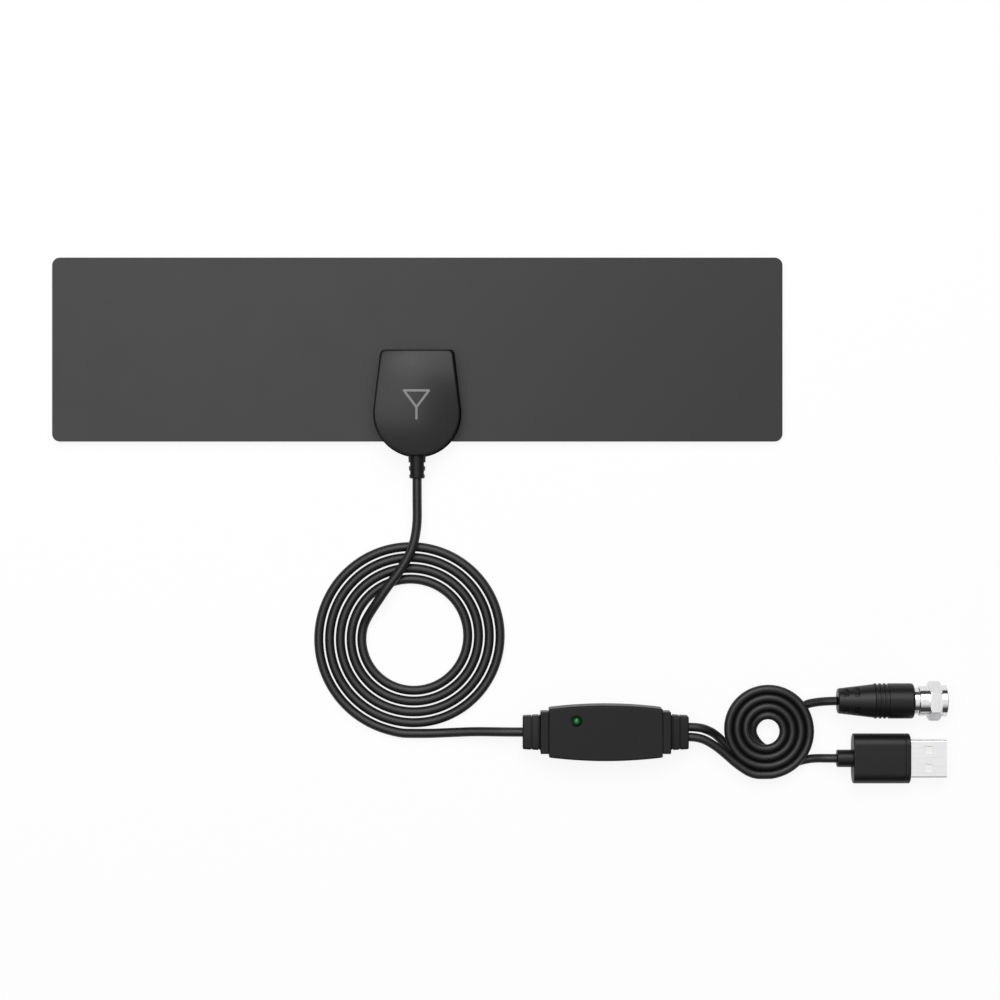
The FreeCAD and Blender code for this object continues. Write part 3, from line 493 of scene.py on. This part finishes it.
def gland():
    """Tapered round gland; its sides are cut back to the groove's width inside the notches."""
    low, high = corners_of("cord_gland")
    wall_y = -housing_round
    starts = wall_y - np.array(gland_notch_starts) - gland_notch_width
    edges = np.concatenate([starts, starts + gland_notch_width])
    tip = low[1] + gland_tip_bevel
    along = stations(low[1], wall_y + gland_embed, step=0.2, edges=[*edges, tip], ramp=gland_notch_ramp)
    radii = [gland_tip_radius - gland_tip_bevel, gland_tip_radius, gland_flange_radius]
    radius = np.interp(along, [low[1], tip, wall_y], radii)
    grid = revolved(along, radius, (0, 0, (low[2] + high[2]) / 2), 1, 72)
    cut = window(along, starts, gland_notch_width, gland_notch_ramp)
    limit = gland_flange_radius - cut * (gland_flange_radius - gland_groove_radius)
    grid[..., 0] = np.clip(grid[..., 0], -limit[:, None], limit[:, None])
    return closed(grid)


# In-line amplifier


def case_ends():
    """Where the case's body starts and ends along X, between its collars."""
    low, high = corners_of("amplifier_top_cover")
    return low[0] + collar_length, high[0] - collar_length


def case_middle_y():
    """Middle of the case across its width."""
    low, high = corners_of("amplifier_top_cover")
    return (low[1] + high[1]) / 2


def case_plan(inset, end_inset):
    """Plan of the case for each inset: sides bowed by a parabola, corners drawn in by a quarter circle."""
    low, high = case_ends()
    half = (high - low) / 2
    turn = np.linspace(0, math.pi / 2, 7)
    corner = 1 - case_corner * (1 - np.cos(turn)) / half
    share = np.unique(np.concatenate([np.linspace(-1, 1, 41), corner, -corner]).round(6))
    from_end = np.minimum(half * (1 - np.abs(share)), case_corner)
    drawn_in = case_corner - np.sqrt(np.maximum(case_corner**2 - (case_corner - from_end) ** 2, 0))
    bow = (case_middle_width - case_end_width) / 2 * (1 - share**2)
    side = case_end_width / 2 + bow - drawn_in - np.asarray(inset)[:, None]
    x = (low + high) / 2 + share * (half - np.asarray(end_inset)[:, None])
    y = case_middle_y()
    lower = np.stack([x, y - side], axis=-1)
    upper = np.stack([x, y + side], axis=-1)[:, ::-1]
    return np.concatenate([lower, upper, lower[:, :1]], axis=1)


def case_half():
    """Outside of the upper half: a fine seam, an upright wall, bevelled long sides, rounded ends and the
    flat top, as plan outlines carried up the profile."""
    seam_z = case_height / 2
    profile = softened(
        [
            (case_seam, seam_z),
            (0, seam_z + case_seam),
            (0, case_height - case_bevel),
            (case_bevel, case_height),
            (case_bevel + case_flat_margin, case_height),
        ],
        case_edges,
    )
    over = np.maximum(profile[:, 1] - (case_height - case_end_round), 0)
    end_inset = case_end_round - np.sqrt(case_end_round**2 - np.minimum(over, case_end_round) ** 2)
    end_inset += np.maximum(profile[:, 0] - case_bevel - case_flat_start, 0)
    return upright(case_plan(profile[:, 0], end_inset), profile[:, 1:])


def case_inside():
    """Inside of the upper half: the roof's edge and the foot of the wall."""
    plan = case_plan([case_wall, case_wall], [case_wall, case_wall])
    return upright(plan, np.array([[case_height - case_wall], [case_height / 2]]))


def case_collar(start_x):
    """Upper half of a collar: a bevelled half section, drawn in a little at both ends."""
    half_width = collar_width / 2
    half_height = collar_height / 2
    corners = [
        (0, -half_height / 2),
        (half_width, -half_height / 2),
        (half_width, half_height / 2 - case_bevel),
        (half_width - case_bevel, half_height / 2),
        (case_bevel - half_width, half_height / 2),
        (-half_width, half_height / 2 - case_bevel),
        (-half_width, -half_height / 2),
        (0, -half_height / 2),
    ]
    places = np.array(collar_end_places)
    along = [*places, *(collar_length - places[::-1])]
    inset = [*collar_end_insets, *collar_end_insets[::-1]]
    middle = (start_x, case_middle_y(), case_height / 2 + half_height / 2)
    return bar(softened(corners, collar_edge), along, inset, middle)


def lamp_place():
    """Plan place of the lamp's axis."""
    low, high = corners_of("status_led")
    return (low[:2] + high[:2]) / 2


def amplifier_top():
    """Upper half with the lamp's hole: the flat top runs to the hole's rim, down its bevel and wall, and
    under the roof to the inside of the walls."""
    outside = case_half()
    lamp = lamp_place()
    last = outside[-1]
    angle = np.arctan2(last[:, 1] - lamp[1], last[:, 0] - lamp[0])
    rim = [
        (led_radius + led_rim + led_rim_flat, case_height),
        (led_radius + led_rim, case_height),
        (led_radius + led_clearance, case_height - led_rim),
        (led_radius + led_clearance, case_height - case_wall),
    ]
    radius, z = np.array(rim).T
    ring = np.stack([np.cos(angle), np.sin(angle)], axis=-1) * radius[:, None, None] + lamp
    hole = upright(ring, z[:, None])
    case = np.concatenate([outside, hole, case_inside(), outside[:1]])
    start, end = case_ends()
    return case, case_collar(start - collar_length), case_collar(end)


def amplifier_bottom():
    """Lower half: the upper half's outside and inside, each closed at its middle, turned over."""
    outside = case_half()
    inside = np.concatenate([case_inside(), outside[:1]])
    start, end = case_ends()
    grids = [closed(outside)[1:], closed(inside)[:-1], case_collar(start - collar_length), case_collar(end)]
    return [grid * (1, 1, -1) + (0, 0, case_height) for grid in grids]


def lamp_lens():
    """Domed lens: a short stem and the top of a sphere, swung about the lamp's axis."""
    top = corners_of("status_led")[1][2]
    turn = np.linspace(0, math.pi / 2, 14)
    along = np.concatenate([[top - led_depth], top - led_radius * (1 - np.sin(turn))])
    radius = np.concatenate([[led_radius], led_radius * np.cos(turn)])
    return closed(revolved(along, radius, (*lamp_place(), 0), 2, 48))


def cord_grip(node, groove_starts, outward):
    """Ribbed block outside a collar: a rounded section that tapers outwards, drawn in at the grooves and at
    both ends."""
    low, high = corners_of(node)
    start_x = low[0] if outward < 0 else high[0] - grip_length
    places = np.array(grip_end_places)
    ends = [*places, *(grip_length - places[::-1])]
    starts = np.array(groove_starts)
    edges = np.concatenate([starts, starts + grip_groove_width])
    along = np.union1d(stations(0, grip_length, step=0.3, edges=edges, ramp=grip_groove_ramp), ends)
    inset = grip_groove_depth * window(along, starts, grip_groove_width, grip_groove_ramp)
    inset += np.interp(along, ends, [*grip_end_insets, *grip_end_insets[::-1]])
    inset += np.interp(outward * along, sorted([0, outward * grip_length]), [0, grip_taper])
    section = rounded_loop(grip_width / 2, grip_height / 2, grip_corner)
    return bar(section, along, inset, (start_x, case_middle_y(), case_height / 2))


# F plug


def f_plug_axis():
    """Point on the F plug's axis, which runs along X."""
    low, high = corners_of("f_plug_boot")
    return 0, (low[1] + high[1]) / 2, (low[2] + high[2]) / 2


def boot():
    """Turned boot: a taper, rings and a barrel, with slots sunk into the taper between four webs."""
    low, high = corners_of("f_plug_boot")
    length = high[0] - low[0]
    slots = np.array(boot_slot_starts)
    rings = np.array(boot_ring_starts)
    edges = np.concatenate([slots, slots + boot_slot_length, rings, rings + boot_ring_width])
    edges = [boot_start_bevel, *edges, boot_barrel_start]
    front = length - boot_end_round * (1 - np.sin(np.linspace(0, math.pi / 2, 7)))
    along = np.union1d(stations(0, length, step=0.3, edges=edges, ramp=boot_ramp), front)
    taper = np.interp(along, [0, boot_taper_length], [boot_start_radius, boot_taper_radius])
    raised_widths = [boot_ring_width] * len(rings) + [length]
    raised = window(along, [*rings, boot_barrel_start], raised_widths, boot_ramp)
    ringed = boot_ring_groove_radius + (boot_radius - boot_ring_groove_radius) * raised
    radius = np.where(along < boot_taper_length, taper, ringed)
    past = np.maximum(along - (length - boot_end_round), 0)
    radius -= boot_end_round - np.sqrt(np.maximum(boot_end_round**2 - past**2, 0))
    radius -= np.interp(along, [0, boot_start_bevel], [boot_start_bevel, 0])
    angle = np.linspace(0, 2 * math.pi, fine_columns + 1)
    from_web = np.mod(angle + math.pi / 4, math.pi / 2) - math.pi / 4
    clear = np.abs(radius[:, None] * np.sin(from_web)) - boot_web_width / 2
    sunk = window(along, slots, boot_slot_length, boot_ramp)[:, None] * np.clip(clear / boot_ramp, 0, 1)
    slotted = radius[:, None] - boot_slot_depth * sunk
    return closed(revolved(along + low[0], slotted, f_plug_axis(), 0, fine_columns))


def turned(node, profile):
    """Turned piece of the F plug: (distance from the node's start, radius) points with softened corners."""
    line = softened(profile, turned_edge, 4)
    return closed(revolved(line[:, 0] + corners_of(node)[0][0], line[:, 1], f_plug_axis(), 0))


def plug_post():
    """Post from the boot to its face: shank, neck, the spigot that carries the nut, and the flange that
    keeps the nut on."""
    low, high = corners_of("f_plug_post")
    length = high[0] - low[0]
    neck = length - post_front_length
    spigot = neck + post_neck_length
    flange = length - post_flange_thickness
    profile = [
        (0, post_shank_radius),
        (neck, post_shank_radius),
        (neck, post_neck_radius),
        (spigot, post_neck_radius),
        (spigot, post_spigot_radius),
        (flange, post_spigot_radius),
        (flange, post_flange_radius),
        (length, post_flange_radius),
        (length, post_bore_radius),
    ]
    return turned("f_plug_post", profile)


def coupling_nut():
    """Hexagon nut once round its wall: collar, hexagon with corners cut by a cone, lip, and back through
    the helical thread to the rear wall."""
    low, high = corners_of("f_plug_nut")
    length = high[0] - low[0]
    angle = np.linspace(0, 2 * math.pi, fine_columns + 1)
    flat = nut_across_flats / 2
    hexagon = flat / np.cos(np.mod(angle, math.pi / 3) - math.pi / 6)
    corner = flat / math.cos(math.pi / 6)
    hex_end = nut_collar_length + nut_hex_length
    hex_edges = [nut_collar_length + nut_hex_edge, hex_end - nut_hex_edge]
    hex_along = stations(nut_collar_length, hex_end, step=0.35, edges=hex_edges, ramp=nut_hex_edge)
    from_end = np.minimum(hex_along - nut_collar_length, hex_end - hex_along)
    hex_radius = np.minimum(hexagon, (corner - nut_hex_chamfer + nut_hex_cone * from_end)[:, None])
    collar_line = [(0, nut_rear_radius), (0, nut_collar_radius), (nut_collar_length, nut_collar_radius)]
    collar = softened(collar_line, nut_collar_edge)
    mouth_radius = thread_minor_radius + thread_mouth
    lip_line = [(hex_end, nut_lip_radius), (length, nut_lip_radius), (length, mouth_radius)]
    lip = softened(lip_line, nut_lip_edge)
    thread_end = nut_collar_length + thread_run_out
    thread_along = np.arange(length - thread_from_face, thread_end, -thread_pitch / 8)
    wave = np.abs(2 * np.mod(thread_along[:, None] / thread_pitch - angle / (2 * math.pi), 1) - 1)
    thread_radius = thread_minor_radius + thread_depth * wave
    rear = np.array(
        [
            (nut_collar_length, thread_minor_radius),
            (nut_rear_wall, thread_minor_radius),
            (nut_rear_wall, nut_rear_radius),
            (0, nut_rear_radius),
        ]
    )
    around = np.ones_like(angle)
    along = np.concatenate([collar[:, 0], hex_along, lip[:, 0], thread_along, rear[:, 0]])
    radius = np.concatenate(
        [collar[:, 1:] * around, hex_radius, lip[:, 1:] * around, thread_radius, rear[:, 1:] * around]
    )
    return revolved(along + low[0], radius, f_plug_axis(), 0, fine_columns)


# USB plug


def usb_moulding():
    """Flat grip with broadly rounded sides, rounded behind, with a fine line round it near its bevelled
    front, and the round neck behind it."""
    low, high = corners_of("usb_overmould")
    axis = (0, (low[1] + high[1]) / 2, (low[2] + high[2]) / 2)
    start = low[0] + usb_neck_length
    length = high[0] - start
    line = length - usb_line_from_end
    edge = softened(
        [
            (3 * usb_rear_round, 0),
            (0, 0),
            (0, line - usb_line_half_width),
            (usb_line_depth, line),
            (0, line + usb_line_half_width),
            (0, length - usb_bevel),
            (usb_bevel, length),
            (3 * usb_bevel, length),
        ],
        [usb_rear_round, *[usb_line_edge] * 3, *[usb_bevel_edge] * 2],
    )
    section = rounded_loop((high[1] - low[1]) / 2, (high[2] - low[2]) / 2, usb_side_radius, 12)
    grip = bar(section, edge[:, 1] + start, edge[:, 0], axis)
    neck_end = usb_neck_length + usb_neck_embed
    neck_line = [(0, usb_neck_bore_radius), (0, usb_neck_radius), (neck_end, usb_neck_radius)]
    neck_x, neck_radius = softened(neck_line, usb_neck_edge).T
    neck = revolved(neck_x + low[0], neck_radius, axis, 0, 64)
    return grip, closed(neck)


# Cords


def coil_points(centre, first_radius, growth, turns, start_angle, z):
    """Control points of a flat coil, anticlockwise: a polygon of even steps about the spiral, which the
    curve touches in the middle of each side."""
    count = round(turns * coil_steps)
    turned_by = (np.arange(count) + 0.5) * 2 * math.pi / coil_steps
    radius = (first_radius + growth * turned_by / (2 * math.pi)) / math.cos(math.pi / coil_steps)
    angle = start_angle + turned_by
    x = centre[0] + radius * np.cos(angle)
    y = centre[1] + radius * np.sin(angle)
    return np.stack([x, y, np.full(count, z)], axis=-1)


def cord_piece(name, nodes, points, diameter):
    """Round cord along one smooth curve, a parabola from the middle of each side of its control points'
    polygon to the middle of the next."""
    curve = bpy.data.curves.new(name, "CURVE")
    curve.dimensions = "3D"
    curve.bevel_depth = diameter / 2 * MM
    curve.bevel_resolution = 8
    curve.resolution_u = 6
    curve.use_fill_caps = True
    spline = curve.splines.new("NURBS")
    spline.points.add(len(points) - 1)
    weighted = np.concatenate([points * MM, np.ones((len(points), 1))], axis=1)
    spline.points.foreach_set("co", weighted.ravel())
    spline.order_u = 3
    spline.use_endpoint_u = True
    return settled(bpy.data.objects.new(name, curve), nodes)


def main_cord_route():
    """From the gland over the coil to its inside, outwards round the coil, and on to the amplifier."""
    radius = main_diameter / 2
    lead_in = [
        (0.0, -21.0, 5.0),
        (0.0, -28.0, 5.0),
        (0.1, -36.0, 4.75),
        (-1.4, -43.6, 4.95),
        (-5.3, -50.4, 5.0),
        (-9.4, -55.6, 5.0),
        (-12.5, -60.2, 4.7),
        (-15.3, -64.35, 3.0),
        (-17.05, -67.5, 1.85),
        (-17.85, -70.6, radius),
    ]
    coil = coil_points(main_centre, main_first_radius, main_pitch, main_turns, math.pi, radius)
    lead_out = [
        (-1.7, -103.08, radius),
        (4.3, -103.08, radius),
        (11.0, -102.75, 1.9),
        (18.0, -102.35, 3.0),
        (24.6, -102.3, 4.3),
        (29.55, -102.32, 5.0),
        (33.85, -102.32, 5.0),
    ]
    return np.concatenate([lead_in, coil, lead_out])


def from_tail_coil(points):
    """Points given from the small coil's centre, moved into the row frame."""
    return np.asarray(points) + (*tail_centre, 0)


def coax_tail_route():
    """From the amplifier's lower exit inwards round the small coil, down through its middle, and out from
    beneath it to the F plug."""
    lead_in = from_tail_coil(
        [
            (-25.33, -2.26, 5.0),
            (-21.93, -2.26, 5.0),
            (-17.6, -4.4, 4.85),
            (-13.6, -7.5, 4.45),
            (-9.7, -11.1, 4.2),
            (-4.6, -tail_first_radius, tail_coil_z),
            (0.0, -tail_first_radius, tail_coil_z),
        ]
    )
    coil = coil_points(tail_centre, tail_first_radius, -tail_pitch, tail_turns, -math.pi / 2, tail_coil_z)
    last_radius = tail_first_radius - tail_pitch * tail_turns
    lead_out = from_tail_coil(
        [
            (-0.1, last_radius + 0.07, tail_coil_z),
            (-2.15, 4.25, 4.0),
            (-4.15, 2.0, 3.15),
            (-4.68, -1.0, 2.25),
            (-3.36, -3.6, 1.65),
            (-1.2, -5.9, 1.42),
            (1.9, -7.6, 1.4),
            (5.8, -6.6, 1.41),
            (8.2, -3.3, 1.4),
            (9.0, 0.9, 1.41),
            (10.0, 5.0, 1.4),
            (12.4, 7.9, 1.47),
            (15.9, 8.75, 2.9),
            (19.05, 9.2, 4.5),
            (22.45, 9.38, 5.65),
        ]
    )
    return np.concatenate([lead_in, coil, lead_out])


def power_tail_route():
    """From the amplifier's upper exit down under the small coil and out to the USB plug."""
    return from_tail_coil(
        [
            (-25.33, 0.94, 5.0),
            (-21.93, 0.94, 5.0),
            (-18.4, -0.3, 3.8),
            (-15.6, -2.2, 1.7),
            (-11.8, -6.2, 1.4),
            (-7.4, -10.6, 1.41),
            (-2.2, -13.1, 1.4),
            (3.4, -13.0, 1.41),
            (8.4, -11.0, 1.4),
            (12.8, -9.75, 1.42),
            (15.9, -9.3, 2.5),
            (19.02, -9.2, 3.8),
            (22.42, -9.2, 4.0),
        ]
    )


# Materials


def linear(code):
    """Linear colour of an sRGB hex value."""
    parts = np.array([int(code[i : i + 2], 16) for i in (1, 3, 5)]) / 255
    light = np.where(parts <= 0.04045, parts / 12.92, ((parts + 0.055) / 1.055) ** 2.4)
    return (*light, 1.0)


def add(tree, kind, inputs=(), **settings):
    """Adds a node with its settings; an input is a value or the socket that is linked to it."""
    made = tree.nodes.new(kind)
    for key, value in settings.items():
        setattr(made, key, value)
    for key, value in dict(inputs).items():
        if isinstance(value, bpy.types.NodeSocket):
            tree.links.new(value, made.inputs[key])
        else:
            made.inputs[key].default_value = value
    return made


def worked(tree, operation, first, second):
    """Socket with the result of one operation on two values or sockets."""
    return add(tree, "ShaderNodeMath", {0: first, 1: second}, operation=operation).outputs[0]


def distance_from(tree, centre):
    """Socket with the distance in metres from a place in millimetres."""
    place = add(tree, "ShaderNodeTexCoord").outputs["Object"]
    centred = add(tree, "ShaderNodeMapping", {"Vector": place, "Location": -np.array(centre) * MM})
    return add(tree, "ShaderNodeVectorMath", {0: centred.outputs[0]}, operation="LENGTH").outputs["Value"]


def finish(name, dark, light, grain_mm, relief_mm, roughness, inputs=(), spread=0.08):
    """Material with a fine grain: noise of the grain's three sizes along X, Y and Z tints it between two
    colours and raises it by the relief, and broad clouds change its roughness a little."""
    material = bpy.data.materials.new(name)
    material.use_nodes = True
    tree = material.node_tree
    shader = tree.nodes["Principled BSDF"]
    place = add(tree, "ShaderNodeTexCoord").outputs["Object"]
    scale = [1 / (size * MM) for size in np.broadcast_to(grain_mm, 3)]
    stretched = add(tree, "ShaderNodeMapping", {"Vector": place, "Scale": scale})
    grain = add(tree, "ShaderNodeTexNoise", {"Vector": stretched.outputs[0], "Scale": 1.0, "Detail": 3.0})
    clouds = add(tree, "ShaderNodeTexNoise", {"Vector": place, "Scale": 1 / (cloud_size * MM), "Detail": 2.0})
    tint = add(tree, "ShaderNodeValToRGB", {"Fac": grain.outputs["Fac"]})
    for element, stop, code in zip(tint.color_ramp.elements, tint_stops, (dark, light)):
        element.position = stop
        element.color = linear(code)
    gloss = add(
        tree,
        "ShaderNodeMapRange",
        {"Value": clouds.outputs["Fac"], "To Min": roughness - spread / 2, "To Max": roughness + spread / 2},
    )
    relief = add(tree, "ShaderNodeBump", {"Height": grain.outputs["Fac"], "Distance": relief_mm * MM})
    tree.links.new(tint.outputs["Color"], shader.inputs["Base Color"])
    tree.links.new(gloss.outputs["Result"], shader.inputs["Roughness"])
    tree.links.new(relief.outputs["Normal"], shader.inputs["Normal"])
    for key, value in dict(inputs).items():
        shader.inputs[key].default_value = value
    return material


def housing_finish():
    """Satin plastic with dull walls: the gloss comes in over a short depth under the dome's sphere."""
    material = finish("ABS, moulded satin", "#1e1e1e", "#222222", 0.35, 0.004, 0.26)
    tree = material.node_tree
    away = distance_from(tree, dome_centre())
    depth = satin_depth * MM
    sphere = dome_radius * MM
    rise = {"Value": away, "From Min": sphere - depth, "From Max": sphere, "To Max": satin_gloss}
    gloss = add(tree, "ShaderNodeMapRange", rise)
    tree.links.new(gloss.outputs["Result"], tree.nodes["Principled BSDF"].inputs["Specular IOR Level"])
    return material


def lamp_finish():
    """Green clear epoxy, dark at its rim, with a painted glow: emission brightest in the middle of the dome,
    over the chip, and fading to none before the rim.
    """
    material = finish("green clear epoxy, cast", "#0a3d18", "#0d4a1e", 0.3, 0.0, 0.12, {"IOR": 1.54})
    tree = material.node_tree
    shader = tree.nodes["Principled BSDF"]
    # painted glow: emission that falls from the dome's middle to none at the glow's radius
    away = distance_from(tree, (*lamp_place(), corners_of("status_led")[1][2]))
    fall = {"Value": away, "From Max": painted_glow_radius * MM, "To Min": painted_glow_strength, "To Max": 0.0}
    glow = add(tree, "ShaderNodeMapRange", fall)
    shader.inputs["Emission Color"].default_value = linear("#35d25a")
    tree.links.new(glow.outputs["Result"], shader.inputs["Emission Strength"])
    return material


def make_finishes():
    """One finish for each slot of the record."""
    plastic = {"Specular IOR Level": 0.12}
    sheet = {"Specular IOR Level": 0.18}
    soft = {"Specular IOR Level": 0.21}
    rubbery = {"Specular IOR Level": 0.28}
    jacket = {"Specular IOR Level": 0.5}
    metal = {"Metallic": 1.0}
    return {
        # calendered sheet: even and matte, its grain drawn at half a millimetre so that it shows
        "panel_plastic": finish("PVC sheet, calendered matte", "#323232", "#353535", 0.5, 0.006, 0.36, sheet),
        # rolled foil: bright, with faint lines along the roll
        "foil": finish("aluminium foil, rolled", "#c4c5c8", "#d2d3d6", (6, 0.3, 0.3), 0.004, 0.3, metal),
        # two textures in one mould: a satin dome with a soft sheen over dull walls
        "housing_plastic": housing_finish(),
        # glass and epoxy board under green lacquer
        "circuit_board": finish(
            "glass epoxy board, lacquered", "#15502b", "#1c6636", 0.8, 0.01, 0.4, plastic
        ),
        # pressed and fired powder: dull dark grey
        "ferrite": finish("ferrite, sintered", "#252527", "#323235", 0.25, 0.01, 0.7, plastic),
        # drawn and upset: bright warm metal
        "rivet_brass": finish("brass, bright drawn", "#b8923f", "#cfa850", (0.2, 0.2, 4), 0.002, 0.25, metal),
        # soft moulding: a little duller than the cord that it holds
        "gland_rubber": finish("PVC, moulded soft", "#141414", "#181818", 0.4, 0.008, 0.42, soft),
        # extruded jacket: smooth with a satin light along its crown
        "cord_jacket": finish("PVC jacket, extruded", "#0c0c0c", "#101010", 0.5, 0.006, 0.45, jacket),
        # fine mould texture: an even dark grey with hardly any sheen
        "amplifier_plastic": finish(
            "ABS, moulded fine satin", "#202020", "#242424", 0.35, 0.006, 0.38, plastic
        ),
        # moulded chips and parts: plain black
        "component_black": finish("epoxy, moulded", "#141414", "#1b1b1b", 0.3, 0.006, 0.5, plastic),
        # cast lens: dark green, with a painted glow in the middle of the dome
        "led_green": lamp_finish(),
        # overmoulded grip: smooth and slightly glossy
        "plug_moulding": finish("PVC, overmoulded satin", "#121212", "#161616", 0.4, 0.006, 0.36, rubbery),
        # plated turned brass: fine tool lines round the axis, drawn coarse enough to show
        "nickel_plate": finish(
            "nickel plate on turned brass", "#dededf", "#eeeeef", (0.16, 6, 6), 0.003, 0.16, metal
        ),
        # moulded insulator: soft even white
        "white_dielectric": finish("PBT, moulded white", "#ecece9", "#f4f4f1", 0.4, 0.004, 0.4, plastic),
        # drawn wire: faint lines along the pin
        "copper_pin": finish("copper, drawn", "#b06a45", "#c98358", (3, 0.1, 0.1), 0.002, 0.22, metal),
        # folded from plated strip: faint rolling lines along the plug
        "plug_steel": finish(
            "nickel plate on rolled steel", "#e2e2e3", "#eeeeef", (8, 0.2, 0.2), 0.003, 0.3, metal
        ),
        # plated spring strip: warm and bright
        "contact_gold": finish(
            "gold flash on bronze", "#c79a45", "#dcb25c", (3, 0.2, 0.2), 0.002, 0.25, metal
        ),
    }


def print_ink():
    """Screen-printed ink: pale grey, flat and matte."""
    matte = {"Specular IOR Level": 0.3}
    return finish("screen-printed grey ink", "#7d7d7d", "#858585", 0.3, 0.004, 0.6, matte)


# Stage


def floor():
    """Pale table that reads white to the camera, and in reflections white in the light and grey in the
    object's shadow."""
    half = table_half * MM
    mesh = bpy.data.meshes.new("table")
    corners = [(-half, -half, 0), (half, -half, 0), (half, half, 0), (-half, half, 0)]
    mesh.from_pydata(np.array(corners) - (0, 0, table_drop * MM), [], [(0, 1, 2, 3)])
    material = bpy.data.materials.new("pale table")
    material.use_nodes = True
    tree = material.node_tree
    tree.nodes.clear()
    path = add(tree, "ShaderNodeLightPath").outputs
    seen = worked(tree, "MULTIPLY", path["Is Camera Ray"], table_white_seen)
    onward = worked(tree, "MAXIMUM", path["Is Glossy Ray"], path["Is Transmission Ray"])
    reflected = worked(tree, "MULTIPLY", onward, table_white_reflected)
    share = worked(tree, "MAXIMUM", seen, reflected)
    matte = add(tree, "ShaderNodeBsdfDiffuse", {"Color": linear("#f6f6f6")})
    white = add(tree, "ShaderNodeEmission", {"Color": linear("#ffffff"), "Strength": 1.0})
    both = add(tree, "ShaderNodeMixShader", {0: share, 1: matte.outputs[0], 2: white.outputs[0]})
    add(tree, "ShaderNodeOutputMaterial", {"Surface": both.outputs[0]})
    mesh.materials.append(material)
    return bpy.data.objects.new("table", mesh)


def softbox(name, place, target, size, watts):
    """Rectangular lamp at a place, turned towards a target, all in metres."""
    lamp = bpy.data.lights.new(name, "AREA")
    lamp.shape = "RECTANGLE"
    lamp.size, lamp.size_y = size
    lamp.energy = watts
    obj = bpy.data.objects.new(name, lamp)
    obj.location = place
    away = obj.location - Vector(target)
    obj.rotation_euler = away.to_track_quat("Z", "Y").to_euler()
    return obj


def studio():
    """Bright ceiling over dim walls."""
    world = bpy.data.worlds.new("studio")
    world.use_nodes = True
    tree = world.node_tree
    direction = add(tree, "ShaderNodeTexCoord").outputs["Generated"]
    height = add(tree, "ShaderNodeSeparateXYZ", {0: direction}).outputs["Z"]
    ramp = {"From Min": wall_top, "From Max": ceiling_start, "To Min": wall_level, "To Max": ceiling_level}
    level = add(tree, "ShaderNodeMapRange", {"Value": height, **ramp})
    background = tree.nodes["Background"]
    background.inputs["Color"].default_value = linear("#ffffff")
    tree.links.new(level.outputs["Result"], background.inputs["Strength"])
    return world


def camera():
    """Long lens straight above the frame's centre, with the panel's upper edge at the top."""
    data = bpy.data.cameras.new("camera")
    data.sensor_width = sensor_width
    data.lens = sensor_width * camera_distance / frame_width
    data.clip_end = 100
    obj = bpy.data.objects.new("camera", data)
    obj.location = np.array([*frame_centre, frame_height + camera_distance]) * MM
    return obj


# The object

record = frame["record"]
slot_of = {part["node"]: part["material_slot"] for part in record["subparts"]}
finishes = make_finishes()
for node_name, node in frame["nodes"].items():
    node.data.materials.clear()
    node.data.materials.append(finishes[slot_of[node_name]])

piece("front_sheet", ["panel_front_sheet"], panel_sheet("panel_front_sheet"))
piece("rear_sheet", ["panel_rear_sheet"], panel_sheet("panel_rear_sheet"))
piece("domed_cover", ["housing_front_cover"], *housing_cover())
strain_relief = piece("notched_gland", ["cord_gland"], gland())
mark = bpy.data.objects.new("printed_mark", surface("printed_mark", *aerial_mark()))
mark.data.materials.append(print_ink())
bpy.context.scene.collection.objects.link(mark)
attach(mark, "antenna")

top_case = piece("upper_case", ["amplifier_top_cover"], *amplifier_top())
bottom_case = piece("lower_case", ["amplifier_bottom_cover"], *amplifier_bottom())
inlet = cord_grip("amplifier_inlet_grip", inlet_groove_starts, -1)
inlet_grip = piece("ribbed_inlet_grip", ["amplifier_inlet_grip"], inlet)
outlet = cord_grip("amplifier_outlet_grip", outlet_groove_starts, 1)
outlet_grip = piece("ribbed_outlet_grip", ["amplifier_outlet_grip"], outlet)
lens = piece("lamp_lens", ["status_led"], lamp_lens())

slotted_boot = piece("slotted_boot", ["f_plug_boot"], boot())
post = piece("plated_post", ["f_plug_post"], plug_post())
nut = piece("hexagon_nut", ["f_plug_nut"], coupling_nut())
moulding = piece("usb_moulding", ["usb_overmould"], *usb_moulding())

main_route = main_cord_route()
coax_route = coax_tail_route()
power_route = power_tail_route()
main_cord = cord_piece(
    "main_cord", ["main_cord_lead_in", "main_cord_coil", "main_cord_lead_out"], main_route, main_diameter
)
coax_tail = cord_piece(
    "coax_tail", ["coax_tail_lead_in", "coax_tail_coil", "coax_tail_lead_out"], coax_route, tail_diameter
)
power_cord = cord_piece("power_cord", ["power_tail"], power_route, tail_diameter)

# Light, table and camera

scene = bpy.context.scene
scene.view_settings.view_transform = "Standard"
scene.world = studio()
middle = (frame_centre[0] * MM, frame_centre[1] * MM, 0)
stage = [
    floor(),
    softbox("key light beyond the upper edge", key_place, middle, key_size, key_watts),
    softbox("broad light over the left half", broad_place, broad_target, broad_size, broad_watts),
    camera(),
]
for obj in stage:
    scene.collection.objects.link(obj)
scene.camera = stage[-1]
